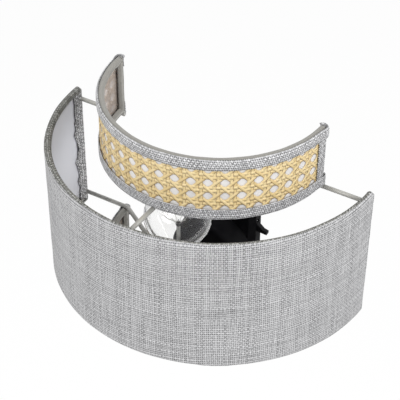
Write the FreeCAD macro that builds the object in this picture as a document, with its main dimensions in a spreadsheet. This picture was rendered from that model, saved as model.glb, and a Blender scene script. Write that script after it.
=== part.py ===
import FreeCAD, Part
import math
import os
import types

import Sketcher

os.makedirs("parts", exist_ok=True)

# A wall sconce: a half drum linen shade round two half rings of cane webbing, on a painted wire
# frame that hangs on a lampholder. A swan arm carries the holder from a round canopy and a wall
# box. X runs along the wall to the right, -Y comes out of the wall, +Z is up, and the origin is
# the middle of the box's back edge plane, on the wall. All sizes are millimetres.
SIZES = {
    # shade: outer half drum
    "shade_radius": 150,
    "shade_height": 130.6,
    "shade_rise": 59,  # middle of the drum above the wall box's middle
    "wall_gap": 14,  # back edges of the shade to the wall
    "cloth": 0.8,
    "liner_wall": 0.8,
    "wire": 3.5,  # diameter of every frame wire
    "layer_gap": 0.2,  # air between layers that lie on each other
    "hem_leg": 1.5,
    "fold_leg": 10,
    "notch_gap": 0.3,
    "hoop_end_share": 0.4,  # how far a hoop passes its end wire's middle, in wire radii
    # shade: the two half rings of cane
    "ring_radius": 103.2,
    "ring_height": 59.4,
    "ring_rise": 83.7,  # middle of a ring from the middle of the drum
    "cane": 1.0,
    "film": 0.4,
    "tape_width": 10.5,
    "tape_drop": 1.7,
    "end_tape_width": 11,
    "bind_leg": 8,
    "cane_hole_width": 7.6,
    "cane_hole_height": 7.2,
    "cane_corner_share": 0.30,
    "cane_column_angle": 7.7,
    "cane_columns": 22,
    "cane_first_angle": -81.6,
    "cane_row_pitch": 13.1,
    "cane_row_start": -17.8,
    # wires and the ring that hang the shade on the holder
    "lamp_reach": 65,  # lampholder's axis from the back edges of the shade
    "fitter_bore": 20.2,
    "fitter_radius": 30,
    "fitter_wall": 2,
    "spider_end": 28.3,
    "spider_bend": 6,
    "corner_inset": 1.4,
    # wall box, its bracket and what they hold
    "box_width": 76,
    "box_height": 102,
    "box_corner": 6,
    "box_bevel": 5,
    "box_wall": 1.5,
    "bracket_width": 26,
    "bracket_wall": 2,
    "ear_depth": 8.3,
    "slot_spacing": 70,
    "slot_length": 12,
    "slot_width": 5,
    "inlet_radius": 9,
    "grommet_lip": 1.6,
    "grommet_bore": 4.2,
    "ear_screw_depth": 5,
    "screw_radius": 1.9,
    "screw_fit": 0.1,
    "screw_head": 3.6,
    "screw_head_height": 2.2,
    "screw_length": 9,
    "driver_share": 0.6,  # cross cut of a screw head against the head
    "earth_x": 7,
    "earth_z": 19,
    "washer_wall": 1,
    "block_width": 25,
    "block_height": 15,
    "block_depth": 8,
    "block_z": -19,
    "block_screw_z": 4.2,
    "block_pitch": 7.6,
    "block_bore": 1.9,
    "block_screw": 1.5,
    # toggle switch in the side of the box
    "switch_depth": 8,
    "switch_width": 11,
    "switch_height": 23,
    "switch_y": -6,
    "switch_seat": 0.3,
    "pivot_inset": 6,
    "pivot_z": 33.5,
    "hub_radius": 4.3,
    "hub_gap": 0.5,
    "lever_wall": 4,
    "lever_reach": 16.5,
    "lever_shoulder_x": 6.3,
    "lever_shoulder_z": 4,
    "lever_neck_x": 14,
    "lever_tip_low": 5.2,
    "lever_tip_high": 2.8,
    "lever_neck_z": 2.4,
    "lever_pin": 1,
    "lever_pin_gap": 0.05,
    "lever_slot_gap": 0.3,
    "lever_slot_low": 5.4,
    "lever_slot_high": 7,
    "cheek_wall": 1.7,
    "cheek_reach": 1.8,
    # canopy and swan arm
    "canopy_radius": 39,
    "canopy_taper": 3,
    "canopy_depth": 22,
    "canopy_round": 5,
    "canopy_wall": 1.5,
    "boss_radius": 3.6,
    "boss_pilot": 1.45,
    "boss_x": 25,
    "tap_screw_radius": 1.4,
    "tap_screw_length": 10,
    "arm_radius": 5,
    "arm_bore": 3.3,
    "arm_inside": 6,
    "arm_run": 4.5,  # straight part in front of the canopy
    "arm_exit_drop": 3,  # where the arm leaves the canopy, below its middle
    "arm_drop": 35,
    "arm_bend": 11,
    "arm_fit": 0.1,
    "collar_radius": 9,
    "collar_wall": 4,
    "collar_bevel": 1.2,
    "nut_width": 15,
    "nut_wall": 4,
    # lampholder
    "holder_collar": 19.6,
    "holder_bore": 17.2,
    "collar_height": 29.4,
    "flange_radius": 23.5,
    "flange_wall": 4,
    "skirt_radius": 21,
    "skirt_height": 9.6,
    "mouth_radius": 15,
    "mouth_wall": 2,
    "base_height": 12,
    "base_bore": 15,
    "base_round": 4,
    "base_wall": 2.5,
    "puck_gap": 0.3,
    "puck_drop": 2.6,
    "shell_bore": 13.4,
    "shell_wall": 0.5,
    "shell_height": 27,
    "strip_width": 6,
    "strip_wall": 0.6,
    "strip_foot": 9,
    "strip_heel": 5.4,
    "strip_toe": 2.7,
    "strip_rise": 4.1,
    "ring_nut_radius": 27,
    "ring_nut_height": 8,
    "ring_nut_gap": 0.3,
    "knurl_radius": 1.6,
    "knurl_count": 16,
    # bulb
    "bulb_seat": 2.4,  # contact tip above the holder's shoulder
    "globe_radius": 30,
    "globe_rise": 75,  # middle of the globe above the contact tip
    "glass": 0.8,
    "neck_radius": 12.3,
    "neck_round": 11,
    "neck_angle": 35,
    "cap_radius": 13.1,
    "cap_wall": 0.5,
    "cap_top": 27,
    "cap_bottom": 5,
    "tip_radius": 4.6,
    "tip_wall": 1.2,
    "cap_turn": 2.5,
    "cap_lip": 0.3,
    "cone_top": 6.5,
    "seal_z": 24,
    "stem_radius": 2,
    "stem_press": 4,
    "stem_tube": 5,
    "stem_tube_low": 31,
    "stem_tube_high": 38,
    "stem_neck": 43,
    "stem_top": 67.4,
    "button_radius": 2.5,
    "button_height": 2,
    "filament_radius": 13,
    "filament_rise": 12,
    "filament_wire": 0.6,
    "filament_span": 300,
    "support_wire": 0.4,
    "support_gap": 0.2,
    "support_count": 6,
}


class Size:
    """A length that knows its value now and the formula that gives it from the sheet."""

    def __init__(self, number, text):
        self.number = number
        self.text = text

    def __add__(self, other):
        other = as_size(other)
        return Size(self.number + other.number, f"({self.text} + {other.text})")

    def __sub__(self, other):
        other = as_size(other)
        return Size(self.number - other.number, f"({self.text} - {other.text})")

    def __mul__(self, other):
        other = as_size(other)
        return Size(self.number * other.number, f"({self.text} * {other.text})")

    def __truediv__(self, other):
        other = as_size(other)
        return Size(self.number / other.number, f"({self.text} / {other.text})")

    def __neg__(self):
        return Size(-self.number, f"(0 - {self.text})")


def as_size(value):
    return value if isinstance(value, Size) else Size(value, str(value))


def root(value):
    return Size(math.sqrt(value.number), f"sqrt({value.text})")


def degrees_of(value):
    """A plain number of the sheet read as an angle."""
    return Size(value.number, f"({value.text} * 1 deg)")


def sine(angle):
    return Size(math.sin(math.radians(angle.number)), f"sin({angle.text})")


def cosine(angle):
    return Size(math.cos(math.radians(angle.number)), f"cos({angle.text})")


def arc_sine(value):
    return Size(math.degrees(math.asin(value.number)), f"asin({value.text})")


def turn(angle):
    return Size(angle, f"{angle} deg")


doc = FreeCAD.newDocument("wall_sconce")
sheet = doc.addObject("Spreadsheet::Sheet", "sizes")
for row, (name, value) in enumerate(SIZES.items(), 1):
    sheet.set(f"A{row}", name)
    sheet.set(f"B{row}", str(value))
    sheet.setAlias(f"B{row}", name)
doc.recompute()
d = types.SimpleNamespace(**{name: Size(float(sheet.get(name)), f"sizes.{name}") for name in SIZES})
ZERO = as_size(0)
X_AXIS = FreeCAD.Vector(1, 0, 0)
Y_AXIS = FreeCAD.Vector(0, 1, 0)
Z_AXIS = FreeCAD.Vector(0, 0, 1)
nodes = []


def bind(thing, name, size):
    """Ties one property to the sheet, through the formula of the size."""
    size = as_size(size)
    thing.setExpression(name, size.text)


def place(thing, x=ZERO, y=ZERO, z=ZERO, axis=Z_AXIS, angle=None):
    """Sets a piece at x, y, z, turned by angle degrees about axis."""
    spin = as_size(0) if angle is None else angle
    thing.Placement = FreeCAD.Placement(FreeCAD.Vector(), FreeCAD.Rotation(axis, spin.number))
    if angle is not None and angle.number:
        bind(thing, "Placement.Rotation.Angle", angle)
        if angle.number < 0:
            raise ValueError("turn the axis round in place of a negative angle")
    for letter, size in (("x", x), ("y", y), ("z", z)):
        bind(thing, f"Placement.Base.{letter}", size)
    return thing


def keep(thing, label):
    """Marks a piece as one that is written out under its label."""
    thing.Label = label
    nodes.append(thing)
    return thing


def new_body(name):
    return doc.addObject("PartDesign::Body", name)


def origin_feature(body, role):
    return next(f for f in body.Origin.OriginFeatures if f.Role == role)


def new_sketch(body, role, offset=None):
    """A sketch on one of the body's own planes, moved along that plane's normal by offset."""
    sketch = body.newObject("Sketcher::SketchObject", body.Name + "_sketch")
    sketch.AttachmentSupport = [(origin_feature(body, role), "")]
    sketch.MapMode = "FlatFace"
    if offset is not None:
        bind(sketch, "AttachmentOffset.Base.z", offset)
    return sketch


def fix_point(sketch, edge, end, x, y):
    for kind, size in (("DistanceX", as_size(x)), ("DistanceY", as_size(y))):
        if abs(size.number) < 1e-9 and size.text == "0":
            axis = -2 if kind == "DistanceX" else -1
            sketch.addConstraint(Sketcher.Constraint("PointOnObject", edge, end, axis))
            continue
        rule = sketch.addConstraint(Sketcher.Constraint(kind, -1, 1, edge, end, size.number))
        sketch.setExpression(f"Constraints[{rule}]", size.text)


def arc_through(corner, before, here):
    """The arc that arrives at a corner, and whether it runs from before to here."""
    centre = FreeCAD.Vector(as_size(corner[3]).number, as_size(corner[4]).number, 0)
    circle = Part.Circle(centre, Z_AXIS, as_size(corner[2]).number)
    start = math.atan2(before.y - centre.y, before.x - centre.x)
    end = math.atan2(here.y - centre.y, here.x - centre.x)
    ahead = (end - start) % (2 * math.pi) < math.pi
    if ahead:
        return Part.ArcOfCircle(circle, start, end), True
    return Part.ArcOfCircle(circle, end, start), False


def outline(sketch, corners, closed=True):
    """Draws the edges between corners. A corner is (x, y), or (x, y, radius, centre x, centre y)
    where the edge that arrives at it is an arc of less than half a turn."""
    points = [FreeCAD.Vector(as_size(c[0]).number, as_size(c[1]).number, 0) for c in corners]
    edges = []
    for i, corner in enumerate(corners):
        if i == 0 and not closed:
            continue
        shape, ahead = Part.LineSegment(points[i - 1], points[i]), True
        if len(corner) > 2:
            shape, ahead = arc_through(corner, points[i - 1], points[i])
        edges.append((sketch.addGeometry(shape), ahead, corner))
    if not closed:
        fix_point(sketch, edges[0][0], 1, corners[0][0], corners[0][1])
    for i, (edge, ahead, corner) in enumerate(edges):
        last = i == len(edges) - 1
        finish = 2 if ahead else 1
        if closed or not last:
            following, next_ahead, _ = edges[0 if last else i + 1]
            begin = 1 if next_ahead else 2
            sketch.addConstraint(Sketcher.Constraint("Coincident", edge, finish, following, begin))
        fix_point(sketch, edge, finish, corner[0], corner[1])
        if len(corner) > 2:
            size = as_size(corner[2])
            rule = sketch.addConstraint(Sketcher.Constraint("Radius", edge, size.number))
            sketch.setExpression(f"Constraints[{rule}]", size.text)
    return sketch


def circles(sketch, rounds):
    """Circles of (x, y, radius)."""
    for x, y, radius in rounds:
        centre = FreeCAD.Vector(as_size(x).number, as_size(y).number, 0)
        radius = as_size(radius)
        edge = sketch.addGeometry(Part.Circle(centre, Z_AXIS, radius.number))
        fix_point(sketch, edge, 3, x, y)
        rule = sketch.addConstraint(Sketcher.Constraint("Radius", edge, radius.number))
        sketch.setExpression(f"Constraints[{rule}]", radius.text)
    return sketch


def box_outline(low_x, high_x, low_y, high_y):
    return [(low_x, low_y), (high_x, low_y), (high_x, high_y), (low_x, high_y)]


def pad(body, sketch, length, both_ways=False, reverse=False):
    feature = body.newObject("PartDesign::Pad", body.Name + "_pad")
    feature.Profile = sketch
    bind(feature, "Length", length)
    feature.Midplane = both_ways
    feature.Reversed = reverse
    return feature


def pocket(body, sketch, length=None, both_ways=False, reverse=False):
    """A cut as deep as length, or right through the body where no length is given."""
    feature = body.newObject("PartDesign::Pocket", body.Name + "_pocket")
    feature.Profile = sketch
    if length is None:
        feature.Type = "ThroughAll"
    else:
        bind(feature, "Length", length)
    feature.Midplane = both_ways
    feature.Reversed = reverse
    return feature


def revolve(body, sketch, angle=None):
    """Turns a section about the sketch's upright axis, by a whole turn or by angle both ways."""
    feature = body.newObject("PartDesign::Revolution", body.Name + "_turned")
    feature.Profile = sketch
    feature.ReferenceAxis = (sketch, ["V_Axis"])
    if angle is None:
        feature.Angle = 360
    else:
        feature.Midplane = True
        bind(feature, "Angle", angle)
    return feature


def pipe(body, section, path, edges):
    feature = body.newObject("PartDesign::AdditivePipe", body.Name + "_pipe")
    feature.Profile = section
    feature.Spine = (path, [f"Edge{i}" for i in range(1, edges + 1)])
    return feature


def polar(body, feature, role, angle, count):
    pattern = body.newObject("PartDesign::PolarPattern", body.Name + "_pattern")
    pattern.Originals = [feature]
    pattern.Axis = (origin_feature(body, role), [""])
    bind(pattern, "Angle", angle)
    bind(pattern, "Occurrences", count)
    body.Tip = pattern
    return pattern


def cylinder(name, radius, height, **where):
    thing = doc.addObject("Part::Cylinder", name)
    bind(thing, "Radius", radius)
    bind(thing, "Height", height)
    return place(thing, **where)


def cut(name, base, tools):
    thing = doc.addObject("Part::Cut", name)
    thing.Base = base
    if len(tools) > 1:
        joined = doc.addObject("Part::MultiFuse", name + "_tools")
        joined.Shapes = tools
        thing.Tool = joined
    else:
        thing.Tool = tools[0]
    return thing


def group(name, pieces):
    """Separate solids that share one node."""
    thing = doc.addObject("Part::Compound", name)
    thing.Links = pieces
    return thing


def mirrored(name, source, normal=X_AXIS):
    thing = doc.addObject("Part::Mirroring", name)
    thing.Source = source
    thing.Normal = normal
    return thing


# Where the layers of the shade lie, from the wire outwards or from the cloth inwards
half_wire = d.wire / 2
shade_y = -d.wall_gap
hem_round = half_wire + d.layer_gap + d.cloth
hoop_radius = d.shade_radius - hem_round
liner_outer = d.shade_radius - d.cloth - d.layer_gap
liner_inner = liner_outer - d.liner_wall
half_shade = d.shade_height / 2
hoop_z = half_shade - hem_round

tape_inner = d.ring_radius - d.cloth
cane_outer = tape_inner - d.layer_gap
cane_inner = cane_outer - d.cane
film_outer = cane_inner - d.layer_gap
film_inner = film_outer - d.film
ring_wire = film_inner - d.layer_gap - half_wire
bind_inner = ring_wire - half_wire - d.layer_gap - d.cloth
bind_round = (cane_outer - bind_inner) / 2
bind_middle = (cane_outer + bind_inner) / 2
half_ring = d.ring_height / 2
ring_hoop_z = half_ring - bind_round
panel_top = ring_hoop_z - d.layer_gap

# Where the spokes meet the frame: under the ring's wire, against the drum's end wires
spoke_z = d.ring_rise - ring_hoop_z - d.wire
outer_post_x = root(hoop_radius * hoop_radius - hem_round * hem_round)
ring_post_x = root(ring_wire * ring_wire - bind_round * bind_round)
lamp_y = shade_y - d.lamp_reach
front_post_radius = liner_inner - d.layer_gap - half_wire

# Heights on the lampholder
fitter_top = d.shade_rise - spoke_z - half_wire
shoulder_z = fitter_top - d.fitter_wall
skirt_bottom = shoulder_z - d.skirt_height
base_bottom = skirt_bottom - d.base_height
tip_z = shoulder_z + d.bulb_seat


def in_shade(thing, rise=ZERO):
    """Sets a half round piece on the shade's axis, turned so that its middle faces the room."""
    return place(thing, y=shade_y, z=d.shade_rise + rise, axis=-Z_AXIS, angle=turn(90))


def half_shell(name, inner, outer, low, high, rise=ZERO, back=ZERO):
    """A thin half cylinder that stops a little short of the shade's back plane."""
    body = new_body(name)
    section = outline(new_sketch(body, "XZ_Plane"), box_outline(inner, outer, low, high))
    revolve(body, section, turn(180) - arc_sine(back / outer) * 2)
    return in_shade(body, rise)


def fold_section(inner, middle, outer, radius, level, leg, side):
    """Cloth turned over a wire: down outside, over the wire, and in along a leg."""
    z = level * side
    top = (level + radius) * side
    under = (level + radius - d.cloth) * side
    foot = (level - leg) * side
    small = radius - d.cloth
    return [
        (outer, z),
        (middle, top, radius, middle, z),
        (inner, z, radius, middle, z),
        (inner, foot),
        (inner + d.cloth, foot),
        (inner + d.cloth, z),
        (middle, under, small, middle, z),
        (outer - d.cloth, z, small, middle, z),
    ]


def end_fold(name, inner, middle, outer, radius, leg, half_round, half_leg, rise=ZERO):
    """The same fold over an upright wire at the end of the shade."""
    body = new_body(name)
    small = radius - d.cloth
    bend = [
        (radius, outer),
        (ZERO, middle, radius, radius, middle),
        (radius, inner, radius, radius, middle),
        (radius, inner + d.cloth),
        (d.cloth, middle, small, radius, middle),
        (radius, outer - d.cloth, small, radius, middle),
    ]
    pad(body, outline(new_sketch(body, "XY_Plane"), bend), half_round * 2, both_ways=True)
    flat = box_outline(radius, radius + leg, inner, inner + d.cloth)
    pad(body, outline(new_sketch(body, "XY_Plane"), flat), half_leg * 2, both_ways=True)
    return in_shade(body, rise)


def hoop(name, radius, z, back):
    """A half round wire whose ends stop at back from the shade's back plane."""
    short = arc_sine(back / radius)
    thing = doc.addObject("Part::Torus", name)
    bind(thing, "Radius1", radius)
    bind(thing, "Radius2", half_wire)
    bind(thing, "Angle3", turn(180) - short * 2)
    return place(thing, y=shade_y, z=d.shade_rise + z, angle=turn(180) + short)


def upright(name, x, back, low, high):
    return cylinder(name, half_wire, high - low, x=x, y=shade_y - back, z=d.shade_rise + low)


def notch(name, along, x, y, z, length):
    """A round tool, along X or Y, that clears a wire where it goes through cloth."""
    axis = Y_AXIS if along == "x" else X_AXIS
    return cylinder(name, half_wire + d.notch_gap, length, x=x, y=y, z=z, axis=axis, angle=turn(90))


# Outer drum: wires
outer_back = hem_round - half_wire * d.hoop_end_share
keep(hoop("outer_top_hoop", hoop_radius, hoop_z, outer_back), "outer_top_hoop")
keep(hoop("outer_bottom_hoop", hoop_radius, -hoop_z, outer_back), "outer_bottom_hoop")
post_z = hoop_z - half_wire
right_post = upright("right_post", outer_post_x, hem_round, -post_z, post_z)
left_post = upright("left_post", -outer_post_x, hem_round, -post_z, post_z)
front_post = upright("front_post", ZERO, front_post_radius, -post_z, post_z)
keep(group("outer_posts_group", [left_post, right_post, front_post]), "outer_posts")

# Outer drum: liner, linen and the linen folds over the end wires
liner_z = post_z - d.layer_gap
keep(
    half_shell(
        "liner", liner_inner, liner_outer, -liner_z, liner_z, back=hem_round + half_wire + d.layer_gap
    ),
    "outer_liner",
)
linen = new_body("linen")
inner_face = d.shade_radius - hem_round * 2
top_fold = fold_section(inner_face, hoop_radius, d.shade_radius, hem_round, hoop_z, d.hem_leg, 1)
low_fold = fold_section(inner_face, hoop_radius, d.shade_radius, hem_round, hoop_z, d.hem_leg, -1)
low_back = [
    (d.shade_radius - d.cloth, -hoop_z),
    (hoop_radius, -(half_shade - d.cloth), hem_round - d.cloth, hoop_radius, -hoop_z),
    (inner_face + d.cloth, -hoop_z, hem_round - d.cloth, hoop_radius, -hoop_z),
    low_fold[4],
    low_fold[3],
    (inner_face, -hoop_z),
    (hoop_radius, -half_shade, hem_round, hoop_radius, -hoop_z),
    (d.shade_radius, -hoop_z, hem_round, hoop_radius, -hoop_z),
]
revolve(
    linen,
    outline(new_sketch(linen, "XZ_Plane"), top_fold + low_back),
    turn(180) - arc_sine((hem_round + d.layer_gap) / d.shade_radius) * 2,
)
keep(in_shade(linen), "outer_linen")

hem_foot = hoop_z - d.hem_leg - d.layer_gap
outer_end = end_fold(
    "outer_end", inner_face, hoop_radius, d.shade_radius, hem_round, d.fold_leg, hoop_z, hem_foot
)
reach = outer_post_x - ring_post_x
end_notches = [
    notch(
        f"end_notch_{level}",
        "x",
        ring_post_x,
        shade_y - hem_round,
        d.shade_rise + spoke_z * side,
        reach,
    )
    for level, side in (("high", 1), ("low", -1))
]
right_fold = cut("right_fold", outer_end, end_notches)
left_fold = mirrored("left_fold", right_fold)
keep(group("end_folds_group", [left_fold, right_fold]), "outer_end_folds")


def make_ring(which, side):
    """One half ring of cane: its wires, film, cane, tapes and the cloth bound over its wires."""
    rise = d.ring_rise * side
    ring_back = bind_round - half_wire * d.hoop_end_share
    wires = [
        hoop(f"{which}_hoop_{end}", ring_wire, rise + ring_hoop_z * way, ring_back)
        for end, way in (("top", 1), ("bottom", -1))
    ]
    keep(group(f"{which}_hoops_group", wires), f"{which}_hoops")
    stub = ring_hoop_z - half_wire
    posts = [
        upright(f"{which}_post_{end}", ring_post_x * way, bind_round, rise - stub, rise + stub)
        for end, way in (("left", -1), ("right", 1))
    ]
    keep(group(f"{which}_posts_group", posts), f"{which}_posts")

    behind_post = bind_round + half_wire + d.layer_gap
    film = half_shell(
        f"{which}_film_body", film_inner, film_outer, -panel_top, panel_top, rise, behind_post
    )
    keep(film, f"{which}_film")

    cane = new_body(f"{which}_cane_body")
    section = box_outline(cane_inner, cane_outer, -panel_top, panel_top)
    revolve(
        cane,
        outline(new_sketch(cane, "XZ_Plane"), section),
        turn(180) - arc_sine((bind_round + d.layer_gap) / cane_outer) * 2,
    )
    holes = new_sketch(cane, "YZ_Plane")
    holes.AttachmentOffset = FreeCAD.Placement(
        FreeCAD.Vector(), FreeCAD.Rotation(Y_AXIS, d.cane_first_angle.number)
    )
    half_width = d.cane_hole_width / 2
    half_height = d.cane_hole_height / 2
    side_run = half_width - d.cane_hole_width * d.cane_corner_share
    side_rise = half_height - d.cane_hole_height * d.cane_corner_share
    for number in range(4):
        z = (d.cane_row_start + d.cane_row_pitch * number) * side
        outline(
            holes,
            [
                (half_width, z - side_rise),
                (half_width, z + side_rise),
                (side_run, z + half_height),
                (-side_run, z + half_height),
                (-half_width, z + side_rise),
                (-half_width, z - side_rise),
                (-side_run, z - half_height),
                (side_run, z - half_height),
            ],
        )
    piercing = pocket(cane, holes, cane_outer * 2, reverse=True)
    span = degrees_of(d.cane_column_angle * (d.cane_columns - 1))
    polar(cane, piercing, "Z_Axis", span, d.cane_columns)
    keep(in_shade(cane, rise), f"{which}_cane")

    high = half_ring - d.tape_drop
    low = high - d.tape_width
    clear = bind_round + d.layer_gap
    top = half_shell(f"{which}_tape_t", tape_inner, d.ring_radius, low, high, rise, clear)
    bottom = half_shell(f"{which}_tape_b", tape_inner, d.ring_radius, -high, -low, rise, clear)
    keep(top, f"{which}_top_tape")
    keep(bottom, f"{which}_bottom_tape")

    end_half = low - d.layer_gap
    start = arc_sine(clear / d.ring_radius)
    stop = arc_sine((clear + d.end_tape_width) / d.ring_radius)
    strip = new_body(f"{which}_end_tape")
    section = box_outline(tape_inner, d.ring_radius, -end_half, end_half)
    revolve(strip, outline(new_sketch(strip, "XZ_Plane"), section), stop - start)
    place(
        strip,
        y=shade_y,
        z=d.shade_rise + rise,
        axis=-Z_AXIS,
        angle=(start + stop) / 2,
    )
    strips = [strip, mirrored(f"{which}_end_tape_left", strip)]
    keep(group(f"{which}_end_tapes_group", strips), f"{which}_end_tapes")

    bindings = []
    for end, way in (("top", 1), ("bottom", -1)):
        roll = new_body(f"{which}_bind_{end}")
        fold = fold_section(
            bind_inner, bind_middle, cane_outer, bind_round, ring_hoop_z, d.bind_leg, way
        )
        revolve(
            roll,
            outline(new_sketch(roll, "XZ_Plane"), fold),
            turn(180) - arc_sine(clear / cane_outer) * 2,
        )
        in_shade(roll, rise)
        if way == -side:
            z = d.shade_rise + spoke_z * side
            tools = [
                notch(f"{which}_notch_x", "x", -outer_post_x, shade_y - hem_round, z, outer_post_x * 2),
                notch(f"{which}_notch_y", "y", ZERO, shade_y - d.lamp_reach, z, hoop_radius - d.lamp_reach),
            ]
            if side < 0:
                tools += [spider_notch(f"{which}_notch_{n}", s) for n, s in (("l", -1), ("r", 1))]
            roll = cut(f"{which}_roll", roll, tools)
        bindings.append(roll)
    leg_half = ring_hoop_z - d.bind_leg - d.layer_gap
    right_end = end_fold(
        f"{which}_bind_end",
        bind_inner,
        bind_middle,
        cane_outer,
        bind_round,
        d.bind_leg,
        ring_hoop_z - d.layer_gap,
        leg_half,
        rise,
    )
    bindings += [right_end, mirrored(f"{which}_bind_end_left", right_end)]
    keep(group(f"{which}_binding_group", bindings), f"{which}_binding")


# The wires that carry the shade: from the drum's end, over the lower ring's corner, to the fitter
corner_x = ring_post_x - d.corner_inset
corner_y = hem_round
run_x = corner_x
run_y = d.lamp_reach - corner_y
run = root(run_x * run_x + run_y * run_y)
way_x = run_x / run
way_y = run_y / run
tangent = d.spider_bend * (way_y / (way_x + 1))


def spider_wire(name, side):
    """A wire with one bend, drawn in plan with y towards the wall."""
    body = new_body(name)
    outer_end_x = (outer_post_x - half_wire) * side
    bend_x = (corner_x + tangent) * side
    reach_left = run - d.spider_end
    path = outline(
        new_sketch(body, "XY_Plane"),
        [
            (outer_end_x, -corner_y),
            (bend_x, -corner_y),
            (
                (corner_x - way_x * tangent) * side,
                -(corner_y + way_y * tangent),
                d.spider_bend,
                bend_x,
                -(corner_y + d.spider_bend),
            ),
            ((corner_x - way_x * reach_left) * side, -(corner_y + way_y * reach_left)),
        ],
        closed=False,
    )
    section = circles(new_sketch(body, "YZ_Plane", outer_end_x), [(-corner_y, ZERO, half_wire)])
    pipe(body, section, path, 3)
    return place(body, y=shade_y, z=d.shade_rise - spoke_z)


def spider_notch(name, side):
    """Clears the slanting run of a spider wire where it leaves the ring's cloth."""
    lean = Size(math.degrees(math.asin(way_y.number)), f"asin({way_y.text})")
    rod = doc.addObject("Part::Cylinder", name)
    bind(rod, "Radius", half_wire + d.notch_gap)
    bind(rod, "Height", d.spider_end)
    flat = FreeCAD.Rotation(Y_AXIS, -90 * side)
    swing = FreeCAD.Rotation(Z_AXIS, lean.number * side)
    rod.Placement = FreeCAD.Placement(FreeCAD.Vector(), swing.multiply(flat))
    bind(rod, "Placement.Base.x", corner_x * side)
    bind(rod, "Placement.Base.y", shade_y - corner_y)
    bind(rod, "Placement.Base.z", d.shade_rise - spoke_z)
    return rod


make_ring("upper", 1)
make_ring("lower", -1)

spoke_length = outer_post_x - ring_post_x
left_spoke = cylinder(
    "left_spoke",
    half_wire,
    spoke_length,
    x=-(outer_post_x - half_wire),
    y=shade_y - hem_round,
    z=d.shade_rise + spoke_z,
    axis=Y_AXIS,
    angle=turn(90),
)
right_spoke = mirrored("right_spoke", left_spoke)
front_reach = front_post_radius - half_wire
front_spoke = cylinder(
    "front_spoke",
    half_wire,
    front_reach - ring_wire + half_wire,
    y=shade_y - ring_wire + half_wire,
    z=d.shade_rise + spoke_z,
    axis=X_AXIS,
    angle=turn(90),
)
keep(group("spokes_group", [left_spoke, right_spoke, front_spoke]), "upper_spokes")

front_arm = cylinder(
    "front_arm",
    half_wire,
    front_reach - d.lamp_reach - d.spider_end,
    y=lamp_y - d.spider_end,
    z=d.shade_rise - spoke_z,
    axis=X_AXIS,
    angle=turn(90),
)
spiders = [spider_wire("spider_left", -1), spider_wire("spider_right", 1), front_arm]
keep(group("spider_group", spiders), "spider_wires")

fitter = new_body("fitter")
pad(
    fitter,
    circles(new_sketch(fitter, "XY_Plane"), [(ZERO, ZERO, d.fitter_radius), (ZERO, ZERO, d.fitter_bore)]),
    d.fitter_wall,
)
keep(place(fitter, y=lamp_y, z=shoulder_z), "fitter_ring")

# Wall box: a bevelled pressed shell, open at the wall
box_half_width = d.box_width / 2
box_half_height = d.box_height / 2
box_inside = box_half_height - d.box_wall
box_front = -(d.wall_gap - d.box_wall)
switch_x = box_half_width - d.pivot_inset
bracket_end = box_inside - d.switch_seat
block_low = d.block_z - d.block_height / 2
block_face = -(d.bracket_wall + d.block_depth)
canopy_front = -(d.wall_gap + d.canopy_depth)
boss_places = [(-d.boss_x, ZERO), (d.boss_x, ZERO)]


def names_of(kind, items, wanted):
    return [f"{kind}{i}" for i, item in enumerate(items, 1) if wanted(item)]


def hollow_out(body, feature, wall, open_face):
    """Leaves a wall inside the outer faces, and no wall at the open face."""
    doc.recompute()
    shell = body.newObject("PartDesign::Thickness", body.Name + "_hollow")
    shell.Base = (feature, names_of("Face", feature.Shape.Faces, open_face))
    bind(shell, "Value", wall)
    shell.Reversed = True
    doc.recompute()
    return shell


def smooth(body, kind, feature, names, size_name, size):
    doc.recompute()
    edge = body.newObject(kind, body.Name + "_edge")
    edge.Base = (feature, names)
    bind(edge, size_name, size)
    doc.recompute()
    return edge


def slot_outline(sketch, x, y, half_length, radius):
    """A slot along y, its ends made of quarter arcs."""
    low = y - half_length + radius
    high = y + half_length - radius
    return outline(
        sketch,
        [
            (x + radius, low, radius, x, low),
            (x + radius, high),
            (x, high + radius, radius, x, high),
            (x - radius, high, radius, x, high),
            (x - radius, low),
            (x, low - radius, radius, x, low),
        ],
    )


box_shell = new_body("box_shell")
face = outline(
    new_sketch(box_shell, "XZ_Plane"),
    box_outline(-box_half_width, box_half_width, -box_half_height, box_half_height),
)
block = pad(box_shell, face, d.wall_gap)
doc.recompute()
corners = names_of(
    "Edge", block.Shape.Edges, lambda e: abs(e.tangentAt(e.FirstParameter).dot(Y_AXIS)) > 0.99
)
rounded = smooth(box_shell, "PartDesign::Fillet", block, corners, "Radius", d.box_corner)
front = names_of(
    "Face", rounded.Shape.Faces, lambda f: abs(f.CenterOfMass.y + d.wall_gap.number) < 1e-6
)
bevelled = smooth(box_shell, "PartDesign::Chamfer", rounded, front, "Size", d.box_bevel)
hollow_out(box_shell, bevelled, d.box_wall, lambda f: abs(f.CenterOfMass.y) < 1e-6)
front_holes = [(ZERO, ZERO, d.inlet_radius)]
front_holes += [(x, z, d.tap_screw_radius + d.screw_fit) for x, z in boss_places]
pocket(box_shell, circles(new_sketch(box_shell, "XZ_Plane"), front_holes), reverse=True)
ear_hole = [(ZERO, -d.ear_screw_depth, d.screw_radius + d.screw_fit)]
pocket(box_shell, circles(new_sketch(box_shell, "XY_Plane"), ear_hole), both_ways=True)
slot_half = d.lever_wall / 2 + d.lever_slot_gap
lever_slot = box_outline(
    d.switch_y - slot_half,
    d.switch_y + slot_half,
    d.pivot_z - d.lever_slot_low,
    d.pivot_z + d.lever_slot_high,
)
pocket(box_shell, outline(new_sketch(box_shell, "YZ_Plane"), lever_slot), reverse=True)
keep(box_shell, "back_box")

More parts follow.
